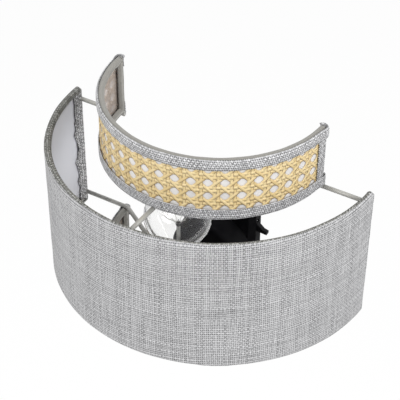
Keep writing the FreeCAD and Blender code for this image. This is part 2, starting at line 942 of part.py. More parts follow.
# The strap behind the box, its ends bent forward to take the box's two screws
bracket = new_body("bracket")
strap_half = d.bracket_width / 2
strap = box_outline(-strap_half, strap_half, -bracket_end, bracket_end)
pad(bracket, outline(new_sketch(bracket, "XZ_Plane"), strap), d.bracket_wall)
ear_foot = bracket_end - d.bracket_wall
ears = new_sketch(bracket, "XZ_Plane")
outline(ears, box_outline(-strap_half, strap_half, ear_foot, bracket_end))
outline(ears, box_outline(-strap_half, strap_half, -bracket_end, -ear_foot))
pad(bracket, ears, d.ear_depth)
slots = new_sketch(bracket, "XZ_Plane")
for way in (-1, 1):
    slot_outline(slots, ZERO, d.slot_spacing / 2 * way, d.slot_length / 2, d.slot_width / 2)
pocket(bracket, slots, reverse=True)
strap_holes = [(ZERO, ZERO, d.inlet_radius), (d.earth_x, d.earth_z, d.screw_radius + d.screw_fit)]
pocket(bracket, circles(new_sketch(bracket, "XZ_Plane"), strap_holes), reverse=True)
pocket(bracket, circles(new_sketch(bracket, "XY_Plane"), ear_hole), both_ways=True)
keep(bracket, "wall_bracket")


def screw(name, radius, length, head_radius, head_height):
    """A plain screw along its own Z, with its head from 0 upwards and a cross cut in the head."""
    body = new_body(name)
    section = [
        (ZERO, -length),
        (radius, -length),
        (radius, ZERO),
        (head_radius, ZERO),
        (head_radius, head_height),
        (ZERO, head_height),
    ]
    revolve(body, outline(new_sketch(body, "XZ_Plane"), section))
    arm = head_radius * d.driver_share
    thin = arm * d.driver_share / 2
    cross = new_sketch(body, "XY_Plane", head_height)
    outline(
        cross,
        [
            (arm, -thin),
            (arm, thin),
            (thin, thin),
            (thin, arm),
            (-thin, arm),
            (-thin, thin),
            (-arm, thin),
            (-arm, -thin),
            (-thin, -thin),
            (-thin, -arm),
            (thin, -arm),
            (thin, -thin),
        ],
    )
    pocket(body, cross, head_height / 2)
    return body


top_screw = screw("top_screw", d.screw_radius, d.screw_length, d.screw_head, d.screw_head_height)
place(top_screw, y=-d.ear_screw_depth, z=box_half_height)
keep(group("box_screw_group", [top_screw, mirrored("low_screw", top_screw, Z_AXIS)]), "box_screws")

earth = screw(
    "earth",
    d.screw_radius,
    d.bracket_wall + d.washer_wall - d.screw_fit,
    d.screw_head,
    d.screw_head_height,
)
place(
    earth, x=d.earth_x, y=-(d.bracket_wall + d.washer_wall), z=d.earth_z, axis=X_AXIS, angle=turn(90)
)
keep(earth, "earth_screw")
washer = new_body("washer")
washer_rounds = [(ZERO, ZERO, d.screw_head + d.washer_wall), (ZERO, ZERO, d.screw_radius + d.screw_fit)]
pad(washer, circles(new_sketch(washer, "XY_Plane"), washer_rounds), d.washer_wall)
place(washer, x=d.earth_x, y=-d.bracket_wall, z=d.earth_z, axis=X_AXIS, angle=turn(90))
keep(washer, "earth_washer")

grommet = new_body("grommet")
grommet_section = [
    (d.grommet_bore, d.screw_fit),
    (d.inlet_radius - d.screw_fit, d.screw_fit),
    (d.inlet_radius - d.screw_fit, d.bracket_wall),
    (d.inlet_radius + d.grommet_lip, d.bracket_wall),
    (d.inlet_radius + d.grommet_lip / 2, d.bracket_wall + d.grommet_lip),
    (d.grommet_bore, d.bracket_wall + d.grommet_lip),
]
revolve(grommet, outline(new_sketch(grommet, "XZ_Plane"), grommet_section))
keep(place(grommet, axis=X_AXIS, angle=turn(90)), "cable_grommet")

# Terminal block: three ways, each a bore along Z with a screw from the front at both ends
terminal = new_body("terminal")
body_face = box_outline(
    -d.block_width / 2, d.block_width / 2, block_low, d.block_z + d.block_height / 2
)
pad(terminal, outline(new_sketch(terminal, "XZ_Plane", d.bracket_wall), body_face), d.block_depth)
ways = [d.block_pitch * n for n in (-1, 0, 1)]
bore_y = -(d.bracket_wall + d.block_depth / 2)
bores = [(x, bore_y, d.block_bore) for x in ways]
pocket(terminal, circles(new_sketch(terminal, "XY_Plane"), bores))
screw_spots = [(x, d.block_z + d.block_screw_z * way) for x in ways for way in (-1, 1)]
wells = [(x, z, d.block_screw + d.screw_fit) for x, z in screw_spots]
well_sketch = circles(new_sketch(terminal, "XZ_Plane", -block_face), wells)
pocket(terminal, well_sketch, d.block_depth / 2)
keep(terminal, "terminal_block")
grubs = [
    cylinder(
        f"grub_{number}",
        d.block_screw,
        d.block_depth / 2 - d.washer_wall * 2,
        x=x,
        y=block_face + d.block_depth / 2 - d.washer_wall,
        z=z,
        axis=X_AXIS,
        angle=turn(90),
    )
    for number, (x, z) in enumerate(screw_spots)
]
keep(group("grub_group", grubs), "terminal_screws")

# Toggle switch: a body with two cheeks that carry the lever's pin
switch = new_body("switch")
switch_low_y = box_front + d.switch_seat
body_right = switch_x - d.hub_radius - d.hub_gap
body_plan = box_outline(
    body_right - d.switch_width, body_right, switch_low_y, d.switch_y + d.switch_depth / 2
)
switch_base = d.pivot_z - d.switch_height / 2
pad(switch, outline(new_sketch(switch, "XY_Plane", switch_base), body_plan), d.switch_height)
cheek_inner = d.switch_depth / 2 - d.cheek_wall
cheeks = new_sketch(switch, "XY_Plane", d.pivot_z - d.hub_radius)
for way in (-1, 1):
    inner = d.switch_y + cheek_inner * way
    outer = d.switch_y + d.switch_depth / 2 * way
    sides = (outer, inner) if way < 0 else (inner, outer)
    outline(cheeks, box_outline(body_right - d.cheek_wall, switch_x + d.cheek_reach, *sides))
pad(switch, cheeks, d.hub_radius * 2)
pin_hole = [(switch_x, d.pivot_z, d.lever_pin + d.lever_pin_gap)]
pocket(switch, circles(new_sketch(switch, "XZ_Plane"), pin_hole), reverse=True)
keep(switch, "switch_body")

pin = cylinder(
    "pin",
    d.lever_pin,
    d.switch_depth,
    x=switch_x,
    y=d.switch_y + d.switch_depth / 2,
    z=d.pivot_z,
    axis=X_AXIS,
    angle=turn(90),
)
keep(pin, "switch_pin")

lever = new_body("lever")
lever_start = -(d.switch_y + d.lever_wall / 2)
blade = [
    (switch_x, d.pivot_z - d.hub_radius),
    (switch_x + d.lever_reach, d.pivot_z - d.lever_tip_low),
    (switch_x + d.lever_reach, d.pivot_z - d.lever_tip_high),
    (switch_x + d.lever_neck_x, d.pivot_z - d.lever_neck_z),
    (switch_x + d.lever_shoulder_x, d.pivot_z + d.lever_shoulder_z),
    (switch_x, d.pivot_z + d.hub_radius),
]
pad(lever, outline(new_sketch(lever, "XZ_Plane", lever_start), blade), d.lever_wall)
hub = [(switch_x, d.pivot_z, d.hub_radius)]
pad(lever, circles(new_sketch(lever, "XZ_Plane", lever_start), hub), d.lever_wall)
hub_hole = [(switch_x, d.pivot_z, d.lever_pin + d.lever_pin_gap)]
pocket(lever, circles(new_sketch(lever, "XZ_Plane"), hub_hole), reverse=True)
keep(lever, "switch_lever")

# Canopy: a spun cup with two bosses, screwed to the box from inside
cup = new_body("cup")
profile = [
    (ZERO, ZERO),
    (d.canopy_radius, ZERO),
    (d.canopy_radius - d.canopy_taper, d.canopy_depth),
    (ZERO, d.canopy_depth),
]
spun = revolve(cup, outline(new_sketch(cup, "XZ_Plane"), profile))
doc.recompute()
cup_front = d.canopy_depth.number
rim = names_of(
    "Edge",
    spun.Shape.Edges,
    lambda e: len(e.Vertexes) == 1 and abs(e.Vertexes[0].Z - cup_front) < 1e-6,
)
round_edge = smooth(cup, "PartDesign::Fillet", spun, rim, "Radius", d.canopy_round)
hollow_out(cup, round_edge, d.canopy_wall, lambda f: abs(f.CenterOfMass.z) < 1e-6)
bosses = circles(new_sketch(cup, "XY_Plane"), [(x, z, d.boss_radius) for x, z in boss_places])
pad(cup, bosses, d.canopy_depth - d.canopy_wall / 2)
pilots = circles(new_sketch(cup, "XY_Plane"), [(x, z, d.boss_pilot) for x, z in boss_places])
pocket(cup, pilots, d.tap_screw_length, reverse=True)
arm_hole = [(ZERO, -d.arm_exit_drop, d.arm_radius + d.arm_fit)]
pocket(cup, circles(new_sketch(cup, "XY_Plane"), arm_hole), reverse=True)
keep(place(cup, y=shade_y, axis=X_AXIS, angle=turn(90)), "canopy_cup")

left_tap = screw(
    "left_tap", d.tap_screw_radius, d.tap_screw_length, d.screw_head, d.screw_head_height
)
place(left_tap, x=-d.boss_x, y=box_front, axis=-X_AXIS, angle=turn(90))
keep(group("tap_group", [left_tap, mirrored("right_tap", left_tap)]), "canopy_screws")

# Swan arm from the canopy down, forward and up into the lampholder
collar = new_body("collar")
collar_section = [
    (d.arm_radius + d.arm_fit, ZERO),
    (d.collar_radius, ZERO),
    (d.collar_radius, d.collar_wall - d.collar_bevel),
    (d.collar_radius - d.collar_bevel, d.collar_wall),
    (d.arm_radius + d.arm_fit, d.collar_wall),
]
revolve(collar, outline(new_sketch(collar, "XZ_Plane"), collar_section))
place(collar, y=canopy_front, z=-d.arm_exit_drop, axis=X_AXIS, angle=turn(90))
keep(collar, "arm_collar")

arm = new_body("arm")
arm_start = canopy_front + d.arm_inside
first_bend = canopy_front - d.arm_run
upright_y = first_bend - d.arm_bend
foot_y = upright_y - d.arm_bend
rise_y = lamp_y + d.arm_bend
first_centre_z = -(d.arm_exit_drop + d.arm_bend)
arm_top = base_bottom + d.base_wall + d.nut_wall + d.hub_gap
arm_path = outline(
    new_sketch(arm, "YZ_Plane"),
    [
        (arm_start, -d.arm_exit_drop),
        (first_bend, -d.arm_exit_drop),
        (upright_y, first_centre_z, d.arm_bend, first_bend, first_centre_z),
        (upright_y, d.arm_bend - d.arm_drop),
        (foot_y, -d.arm_drop, d.arm_bend, foot_y, d.arm_bend - d.arm_drop),
        (rise_y, -d.arm_drop),
        (lamp_y, d.arm_bend - d.arm_drop, d.arm_bend, rise_y, d.arm_bend - d.arm_drop),
        (lamp_y, arm_top),
    ],
    closed=False,
)
tube = circles(
    new_sketch(arm, "XZ_Plane", -arm_start),
    [(ZERO, -d.arm_exit_drop, d.arm_radius), (ZERO, -d.arm_exit_drop, d.arm_bore)],
)
pipe(arm, tube, arm_path, 7)
keep(arm, "holder_arm")


def hex_nut(name):
    body = new_body(name)
    half = d.nut_width / 2
    corner = half / cosine(turn(30))
    points = [(cosine(turn(a)) * corner, sine(turn(a)) * corner) for a in range(30, 390, 60)]
    points = [(ZERO if abs(x.number) < 1e-9 else x, y) for x, y in points]
    pad(body, outline(new_sketch(body, "XY_Plane"), points), d.nut_wall)
    bore = circles(new_sketch(body, "XY_Plane"), [(ZERO, ZERO, d.arm_radius + d.arm_fit)])
    pocket(body, bore, reverse=True)
    return body


canopy_nut = place(
    hex_nut("canopy_nut"),
    y=canopy_front + d.canopy_wall + d.nut_wall,
    z=-d.arm_exit_drop,
    axis=X_AXIS,
    angle=turn(90),
)
keep(canopy_nut, "arm_nut")
keep(place(hex_nut("holder_nut"), y=lamp_y, z=base_bottom + d.base_wall), "base_nut")

# Lampholder: cup base, moulded body with the threaded collar, and the live parts inside
base = new_body("base")
base_section = [
    (d.arm_radius + d.arm_fit, ZERO),
    (d.skirt_radius - d.base_round, ZERO),
    (d.skirt_radius, d.base_round, d.base_round, d.skirt_radius - d.base_round, d.base_round),
    (d.skirt_radius, d.base_height),
    (d.base_bore, d.base_height),
    (d.base_bore, d.base_wall),
    (d.arm_radius + d.arm_fit, d.base_wall),
]
revolve(base, outline(new_sketch(base, "XZ_Plane"), base_section))
keep(place(base, y=lamp_y, z=base_bottom), "holder_base")

shoulder = d.skirt_height
collar_top = shoulder + d.collar_height
flange_low = shoulder - d.flange_wall
moulded = new_body("moulded")
moulded_section = [
    (d.holder_bore, ZERO),
    (d.skirt_radius, ZERO),
    (d.skirt_radius, flange_low),
    (d.flange_radius, flange_low),
    (d.flange_radius, shoulder),
    (d.holder_collar, shoulder),
    (d.holder_collar, collar_top),
    (d.mouth_radius, collar_top),
    (d.mouth_radius, collar_top - d.mouth_wall),
    (d.holder_bore, collar_top - d.mouth_wall),
]
revolve(moulded, outline(new_sketch(moulded, "XZ_Plane"), moulded_section))
keep(place(moulded, y=lamp_y, z=skirt_bottom), "holder_body")

puck_top = shoulder_z - d.puck_drop
puck = cylinder("puck", d.holder_bore - d.puck_gap, puck_top - skirt_bottom, y=lamp_y, z=skirt_bottom)
keep(puck, "holder_insulator")
shell = new_body("shell")
shell_rounds = [(ZERO, ZERO, d.shell_bore + d.shell_wall), (ZERO, ZERO, d.shell_bore)]
pad(shell, circles(new_sketch(shell, "XY_Plane"), shell_rounds), d.shell_height)
keep(place(shell, y=lamp_y, z=puck_top), "screw_shell")
tongue = new_body("tongue")
tongue_section = [
    (-d.strip_foot, ZERO),
    (-d.strip_heel, ZERO),
    (-d.strip_toe, d.strip_rise),
    (d.strip_toe, d.strip_rise),
    (d.strip_toe, d.strip_rise + d.strip_wall),
    (-(d.strip_toe + d.strip_wall), d.strip_rise + d.strip_wall),
    (-(d.strip_heel + d.strip_wall), d.strip_wall),
    (-d.strip_foot, d.strip_wall),
]
pad(tongue, outline(new_sketch(tongue, "XZ_Plane"), tongue_section), d.strip_width, both_ways=True)
keep(place(tongue, y=lamp_y, z=puck_top), "centre_contact")

# The scalloped ring that clamps the shade's fitter on the holder's shoulder
ring_nut = new_body("clamp_ring")
ring_bore = d.holder_collar + d.ring_nut_gap
ring_rounds = [(ZERO, ZERO, d.ring_nut_radius), (ZERO, ZERO, ring_bore)]
pad(ring_nut, circles(new_sketch(ring_nut, "XY_Plane"), ring_rounds), d.ring_nut_height)
scallop = circles(
    new_sketch(ring_nut, "XY_Plane"), [(d.ring_nut_radius + d.knurl_radius / 2, ZERO, d.knurl_radius)]
)
bite = pocket(ring_nut, scallop, reverse=True)
polar(ring_nut, bite, "Z_Axis", turn(360), d.knurl_count)
keep(place(ring_nut, y=lamp_y, z=fitter_top + d.ring_nut_gap), "ring_nut")

# Bulb, measured up from the tip of its contact
lean = degrees_of(d.neck_angle)
cap_inner = d.cap_radius - d.cap_wall
inner_globe = d.globe_radius - d.glass
inner_neck = d.neck_radius - d.glass
inner_round = d.neck_round + d.glass
neck_centre = d.neck_radius + d.neck_round
cheek_x = cosine(lean) * d.globe_radius
cheek_z = d.globe_rise - sine(lean) * d.globe_radius
foot_x = neck_centre - cosine(lean) * d.neck_round
foot_z = cheek_z - (cheek_x - foot_x) * cosine(lean) / sine(lean)
neck_z = foot_z - sine(lean) * d.neck_round
glass = new_body("glass")
glass_section = [
    (ZERO, d.globe_rise + d.globe_radius),
    (ZERO, d.globe_rise + inner_globe),
    (inner_globe, d.globe_rise, inner_globe, ZERO, d.globe_rise),
    (
        cosine(lean) * inner_globe,
        d.globe_rise - sine(lean) * inner_globe,
        inner_globe,
        ZERO,
        d.globe_rise,
    ),
    (neck_centre - cosine(lean) * inner_round, neck_z + sine(lean) * inner_round),
    (inner_neck, neck_z, inner_round, neck_centre, neck_z),
    (inner_neck, d.seal_z),
    (d.neck_radius, d.seal_z),
    (d.neck_radius, neck_z),
    (foot_x, foot_z, d.neck_round, neck_centre, neck_z),
    (cheek_x, cheek_z),
    (d.globe_radius, d.globe_rise, d.globe_radius, ZERO, d.globe_rise),
]
first = glass_section[0]
glass_section[0] = (*first, d.globe_radius, ZERO, d.globe_rise)
revolve(glass, outline(new_sketch(glass, "XZ_Plane"), glass_section))
keep(place(glass, y=lamp_y, z=tip_z), "bulb_glass")

cap = new_body("cap")
cap_section = [
    (cap_inner, d.cap_top),
    (cap_inner, d.cap_bottom + d.cap_turn),
    (cap_inner - d.cap_turn, d.cap_bottom),
    (d.cap_radius - d.cap_turn, d.cap_bottom - d.cap_lip),
    (d.cap_radius, d.cap_bottom + d.cap_turn - d.cap_lip),
    (d.cap_radius, d.cap_top),
]
revolve(cap, outline(new_sketch(cap, "XZ_Plane"), cap_section))
keep(place(cap, y=lamp_y, z=tip_z), "bulb_cap")

cone = new_body("cone")
cone_radius = cap_inner - d.cap_turn - d.cap_lip
cone_section = [
    (ZERO, d.tip_wall),
    (d.tip_radius, d.tip_wall),
    (cone_radius, d.cap_bottom - d.cap_lip),
    (cone_radius, d.cone_top),
    (ZERO, d.cone_top),
]
revolve(cone, outline(new_sketch(cone, "XZ_Plane"), cone_section))
keep(place(cone, y=lamp_y, z=tip_z), "bulb_insulator")
keep(cylinder("tip", d.tip_radius, d.tip_wall, y=lamp_y, z=tip_z), "bulb_contact")

stem = new_body("stem")
stem_wall = d.glass
flare = inner_neck - d.cap_lip
stem_section = [
    (ZERO, d.stem_top),
    (ZERO, d.stem_tube_high),
    (d.stem_press - stem_wall, d.stem_tube_high),
    (d.stem_tube - stem_wall, d.stem_tube_low),
    (flare - stem_wall, d.seal_z),
    (flare, d.seal_z),
    (flare, d.seal_z + stem_wall),
    (d.stem_tube, d.stem_tube_low + stem_wall),
    (d.stem_press, d.stem_tube_high + stem_wall),
    (d.stem_radius, d.stem_neck),
    (d.stem_radius, d.stem_top - d.button_height),
    (d.button_radius, d.stem_top - d.button_height),
    (d.button_radius, d.stem_top),
]
revolve(stem, outline(new_sketch(stem, "XZ_Plane"), stem_section))
keep(place(stem, y=lamp_y, z=tip_z), "bulb_stem")

coil = doc.addObject("Part::Torus", "coil")
bind(coil, "Radius1", d.filament_radius)
bind(coil, "Radius2", d.filament_wire / 2)
bind(coil, "Angle3", degrees_of(d.filament_span))
coil_z = tip_z + d.stem_top + d.filament_rise
place(coil, y=lamp_y, z=coil_z, angle=turn(180) - degrees_of(d.filament_span) / 2)
keep(coil, "filament")

support = new_body("support")
half_support = d.support_wire / 2
support_top = d.filament_radius - d.filament_wire - d.support_wire
ray = [
    (d.stem_radius, d.support_gap),
    (d.stem_radius + d.support_wire, d.support_gap),
    (support_top + d.support_wire, d.filament_rise),
    (support_top, d.filament_rise),
]
prong = pad(support, outline(new_sketch(support, "XZ_Plane"), ray), d.support_wire, both_ways=True)
polar(support, prong, "Z_Axis", turn(360), d.support_count)
half_gap = turn(180) - degrees_of(d.filament_span) / 2
place(support, y=lamp_y, z=tip_z + d.stem_top, angle=half_gap)
keep(support, "filament_supports")

# Every piece is up to date, whole and valid before it is written
doc.recompute()
for thing in doc.Objects:
    if any(word in thing.State for word in ("Invalid", "Error", "Touched")):
        raise RuntimeError(f"{thing.Label} is {thing.State}")
for node in nodes:
    shape = node.Shape
    if shape.isNull() or not shape.isValid():
        raise RuntimeError(f"{node.Label} has no valid shape")
for node in nodes:
    node.Shape.exportStep(f"parts/{node.Label}.step")
print(len(nodes), "pieces written")
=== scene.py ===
import math
import random

import bmesh
import bpy
from mathutils import Matrix, Vector, noise


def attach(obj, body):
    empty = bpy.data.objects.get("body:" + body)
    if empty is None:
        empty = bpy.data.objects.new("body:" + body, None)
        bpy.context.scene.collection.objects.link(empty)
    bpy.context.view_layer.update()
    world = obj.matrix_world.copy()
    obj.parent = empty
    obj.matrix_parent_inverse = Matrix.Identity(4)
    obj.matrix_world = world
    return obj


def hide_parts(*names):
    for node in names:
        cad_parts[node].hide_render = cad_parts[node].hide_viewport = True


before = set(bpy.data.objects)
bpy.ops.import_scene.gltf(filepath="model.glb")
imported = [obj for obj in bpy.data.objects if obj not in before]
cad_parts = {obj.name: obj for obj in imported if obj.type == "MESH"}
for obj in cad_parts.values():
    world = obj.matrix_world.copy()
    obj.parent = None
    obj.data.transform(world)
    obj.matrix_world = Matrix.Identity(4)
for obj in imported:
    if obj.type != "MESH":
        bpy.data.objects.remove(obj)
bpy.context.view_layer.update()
mm = 0.001
random.seed(7)

# the shade's axis stands on the back plane, heights are measured from the drum's middle
shade = {"back": -14, "middle": 59, "cloth": 0.8}


def at(angle, radius, height=0.0):
    # a point on the shade, its angle in degrees from the front towards the right
    turn = math.radians(angle)
    y = shade["back"] - radius * math.cos(turn)
    return Vector((radius * math.sin(turn), y, shade["middle"] + height)) * mm


def arcPoints(x, z, radius, start, end, steps):
    # points of an arc in a profile, its angles in degrees
    turns = [math.radians(start + (end - start) * n / steps) for n in range(steps + 1)]
    return [(x + radius * math.cos(t), z + radius * math.sin(t)) for t in turns]


def startCloth():
    # a mesh whose points know how far up (run) and across (along) the cloth they lie
    bm = bmesh.new()
    bm.verts.layers.float.new("run")
    bm.verts.layers.float.new("along")
    return bm


def chain(bm, points):
    # joins points with edges and notes how far along the cloth each one is
    run = bm.verts.layers.float["run"]
    verts = []
    for point in points:
        vert = bm.verts.new(point)
        if verts:
            bm.edges.new((verts[-1], vert))
            vert[run] = verts[-1][run] + (vert.co - verts[-1].co).length
        verts.append(vert)
    return verts


def withEdges(verts):
    return verts + list({edge for vert in verts for edge in vert.link_edges})


def turnOut(bm, geom, centre, degrees, steps, axis=(0, 0, 1)):
    # sweeps geometry round an axis and gives back where it ends
    made = bmesh.ops.spin(
        bm, geom=geom, cent=centre, axis=axis, angle=math.radians(degrees), steps=steps, use_duplicate=False
    )
    return made["geom_last"]


def shiftOut(bm, geom, way, steps):
    # sweeps geometry in a straight line and gives back where it ends
    made = bmesh.ops.spin(
        bm, geom=geom, cent=(0, 0, 0), axis=(0, 0, 1), angle=0, dvec=Vector(way) / steps, steps=steps,
        use_duplicate=False,
    )
    return made["geom_last"]


def sweepAround(bm, verts, reach, steps):
    # turns a chain about the shade's axis, from -reach to reach degrees
    return turnOut(bm, withEdges(verts), at(0, 0), 2 * reach, steps)


def aroundShade(vert, radius):
    offset = vert.co - at(0, 0)
    return math.atan2(offset.x, -offset.y) * radius * mm


def keepAlong(bm, verts):
    # what a first chain calls its run is the way along this cloth, and its run is filled in later
    run = bm.verts.layers.float["run"]
    along = bm.verts.layers.float["along"]
    for vert in verts:
        vert[along] = vert[run]
    return run, along


def mapThreads(bm, along):
    # lays the weave's own map in metres: across is along(vert), up is the run of the cloth
    run = bm.verts.layers.float["run"]
    threads = bm.loops.layers.uv.new("threads")
    for face in bm.faces:
        for loop in face.loops:
            loop[threads].uv = (along(loop.vert), loop.vert[run])


def ripple(bm, height, length, seed):
    # small unevenness of cloth, out along the normal
    bm.normal_update()
    for vert in bm.verts:
        spot = vert.co / (length * mm) + Vector((seed, seed * 2, 0))
        vert.co += vert.normal * noise.noise(spot) * height * mm


def waveAt(z, side, waves):
    # each wave has a length, two seeds and a height
    return sum(
        height * noise.noise(Vector((z / length, side * seed, layer)))
        for length, seed, layer, height in waves
    )


def pressBy(bm, lines, clear):
    # cloth gives way where a wire goes through it
    for vert in bm.verts:
        for start, end in lines:
            way = end - start
            share = max(0.0, min(1.0, (vert.co - start).dot(way) / way.length_squared))
            offset = vert.co - (start + way * share)
            if 1e-7 < offset.length < clear * mm:
                vert.co += offset.normalized() * (clear * mm - offset.length)


def facePoint(bm, outwards):
    # turns an open sheet as a whole so that its faces look the way outwards(centre) says
    bm.normal_update()
    total = sum(face.normal.dot(outwards(face.calc_center_median())) * face.calc_area() for face in bm.faces)
    if total < 0:
        bmesh.ops.reverse_faces(bm, faces=bm.faces[:])


def faceEach(bm, outwards, slack=0.0):
    # turns each face by itself, slack leaves those that stand nearly side-on
    bm.normal_update()
    for face in bm.faces:
        if face.normal.dot(outwards(face.calc_center_median())) < -slack:
            face.normal_flip()


def fromAxis(centre):
    offset = centre - at(0, 0)
    offset.z = 0
    return offset.normalized()


def finishPiece(name, bm, material, body="fixture", replaces=(), sharp=40, thick=None):
    mesh = bpy.data.meshes.new(name)
    bm.to_mesh(mesh)
    bm.free()
    mesh.shade_smooth()
    mesh.set_sharp_from_angle(angle=math.radians(sharp))
    mesh.materials.append(material)
    piece = bpy.data.objects.new(name, mesh)
    bpy.context.scene.collection.objects.link(piece)
    if thick:
        solid = piece.modifiers.new("thickness", "SOLIDIFY")
        solid.thickness = thick * mm
        solid.offset = -1
    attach(piece, body)
    if replaces:
        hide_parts(*replaces)
    return piece


# materials
socketNames = {
    "colour": "Base Color", "rough": "Roughness", "metal": "Metallic", "ior": "IOR",
    "clear": "Transmission Weight", "sheen": "Sheen Weight", "sheenRough": "Sheen Roughness",
    "specular": "Specular IOR Level", "coat": "Coat Weight", "coatRough": "Coat Roughness",
}


def startMaterial(name, **values):
    material = bpy.data.materials.new(name)
    material.use_nodes = True
    shader = material.node_tree.nodes["Principled BSDF"]
    for key, value in values.items():
        shader.inputs[socketNames[key]].default_value = value
    return material, material.node_tree, shader


def node(tree, kind, links=(), **settings):
    made = tree.nodes.new("ShaderNode" + kind)
    for key, value in settings.items():
        setattr(made, key, value)
    for number, source in links:
        tree.links.new(source, made.inputs[number])
    return made


def plug(tree, term, socket):
    # puts a number or the output of another node into a socket
    if isinstance(term, (int, float)):
        socket.default_value = term
    else:
        tree.links.new(term, socket)


def maths(tree, operation, *terms):
    made = node(tree, "Math", operation=operation)
    for number, term in enumerate(terms):
        plug(tree, term, made.inputs[number])
    return made.outputs[0]


def mixShaders(tree, share, first, second):
    made = node(tree, "MixShader", links=[(1, first), (2, second)])
    plug(tree, share, made.inputs[0])
    return made.outputs[0]


def mapRange(tree, source, fromLow, fromHigh, toLow, toHigh):
    made = node(tree, "MapRange", links=[(0, source)])
    for number, value in enumerate((fromLow, fromHigh, toLow, toHigh), 1):
        made.inputs[number].default_value = value
    return made.outputs[0]


def ramp(tree, factor, stops):
    made = node(tree, "ValToRGB", links=[(0, factor)])
    points = made.color_ramp.elements
    while len(points) < len(stops):
        points.new(0.5)
    for point, (place, colour) in zip(points, stops):
        point.position = place
        point.color = (*colour, 1)
    return made.outputs[0]


def noiseOn(tree, place, stretch, scale, detail):
    mapping = node(tree, "Mapping", links=[(0, place)])
    mapping.inputs["Scale"].default_value = stretch
    made = node(tree, "TexNoise", links=[(0, mapping.outputs[0])])
    made.inputs["Scale"].default_value = scale
    made.inputs["Detail"].default_value = detail
    return made.outputs[0]


def objectNoise(tree, scale, detail=3.0, stretch=(1, 1, 1)):
    return noiseOn(tree, node(tree, "TexCoord").outputs["Object"], stretch, scale, detail)


def bumpInto(tree, shader, height, distance):
    made = node(tree, "Bump")
    made.inputs["Distance"].default_value = distance * mm
    tree.links.new(height, made.inputs["Height"])
    tree.links.new(made.outputs[0], shader.inputs["Normal"])


def glossInto(tree, shader, unevenness, low, high):
    # roughness between low and high, over the middle part of a noise
    gloss = mapRange(tree, unevenness, fromLow=0.3, fromHigh=0.7, toLow=low, toHigh=high)
    tree.links.new(gloss, shader.inputs["Roughness"])


# what all the woven cloths share, gapMiddle and waveMiddle are where their waves lie on the whole
weave = {
    "rough": 0.88, "sheenRough": 0.5, "specular": 0.25, "warpWander": (90, 25, 1), "weftWander": (20, 90, 1),
    "gapMiddle": 0.86, "waveMiddle": 0.64, "gapRelief": 0.6, "crownRelief": 0.5, "yarnRelief": 0.15,
}


def clothMaterial(name, finish):
    # plain weave of doubled yarns on the cloth's own map: painted shade in the gaps at the corners of the
    # threads, between the rows and between the two yarns of a thread, a tone of its own for each thread, and
    # slubs along it
    material, tree, shader = startMaterial(
        name, rough=weave["rough"], sheen=finish["sheen"], sheenRough=weave["sheenRough"],
        specular=weave["specular"],
    )
    uvMap = node(tree, "UVMap", uv_map="threads").outputs[0]
    parts = node(tree, "SeparateXYZ", links=[(0, uvMap)])
    leaning = maths(tree, "MULTIPLY", parts.outputs[1], finish["skew"])
    sloping = maths(tree, "MULTIPLY", parts.outputs[0], finish["slope"])

    def threads(place, pitch, stretch):
        # counts threads along place, their spacing uneven
        wander = noiseOn(tree, uvMap, stretch, scale=1.0, detail=2.0)
        even = maths(tree, "DIVIDE", place, pitch * mm)
        return maths(tree, "ADD", even, maths(tree, "MULTIPLY", wander, finish["wander"]))

    warp = threads(maths(tree, "ADD", parts.outputs[0], leaning), finish["warpPitch"], weave["warpWander"])
    weft = threads(maths(tree, "ADD", parts.outputs[1], sloping), finish["weftPitch"], weave["weftWander"])
    warpNumber = maths(tree, "FLOOR", warp)
    weftNumber = maths(tree, "FLOOR", weft)
    parity = maths(tree, "FLOORED_MODULO", maths(tree, "ADD", warpNumber, weftNumber), 2.0)

    def rounded(place, count):
        return maths(tree, "ABSOLUTE", maths(tree, "SINE", maths(tree, "MULTIPLY", place, count * math.pi)))

    def choose(low, high):
        pick = node(tree, "Mix", data_type="FLOAT", links=[(0, parity), (2, low), (3, high)])
        return pick.outputs[0]

    gap = maths(tree, "MAXIMUM", rounded(warp, 1), rounded(weft, 1))
    crown = choose(rounded(warp, 1), rounded(weft, 1))
    yarns = choose(rounded(warp, 2), rounded(weft, 2))
    tones = []
    centred = 0.5 - 0.5 * (finish["threadShare"] + finish["slubShare"])
    for number, stretch in ((warpNumber, finish["warpSlub"]), (weftNumber, finish["weftSlub"])):
        thread = node(tree, "TexWhiteNoise", noise_dimensions="1D")
        tree.links.new(number, thread.inputs["W"])
        own = maths(tree, "MULTIPLY", thread.outputs["Value"], finish["threadShare"])
        slub = noiseOn(tree, uvMap, stretch, scale=1.0, detail=2.0)
        slubs = maths(tree, "MULTIPLY", slub, finish["slubShare"])
        tones.append(maths(tree, "ADD", maths(tree, "ADD", own, slubs), centred))
    speck = node(tree, "TexWhiteNoise", noise_dimensions="2D")
    crossing = node(tree, "CombineXYZ", links=[(0, warpNumber), (1, weftNumber)])
    tree.links.new(crossing.outputs[0], speck.inputs["Vector"])
    tone = choose(*tones)
    # speck and two-tone are the yarns' own colour; the gap, yarn and row terms are painted shade between
    # threads
    for source, middle, share in (
        (speck.outputs["Value"], 0.5, finish["speck"]),
        (parity, 0.5, finish["twoTone"]),
        (gap, weave["gapMiddle"], finish["gapShade"]),
        (yarns, weave["waveMiddle"], finish["yarnShade"]),
        (rounded(weft, 1), weave["waveMiddle"], finish["rowShade"]),
    ):
        change = maths(tree, "MULTIPLY", maths(tree, "SUBTRACT", source, middle), share)
        tone = maths(tree, "ADD", tone, change)
    tree.links.new(ramp(tree, tone, finish["stops"]), shader.inputs["Base Color"])
    relief = maths(tree, "MULTIPLY", gap, weave["gapRelief"])
    for source, share in ((crown, weave["crownRelief"]), (yarns, weave["yarnRelief"])):
        relief = maths(tree, "ADD", relief, maths(tree, "MULTIPLY", source, share))
    bumpInto(tree, shader, relief, finish["relief"])
    return material
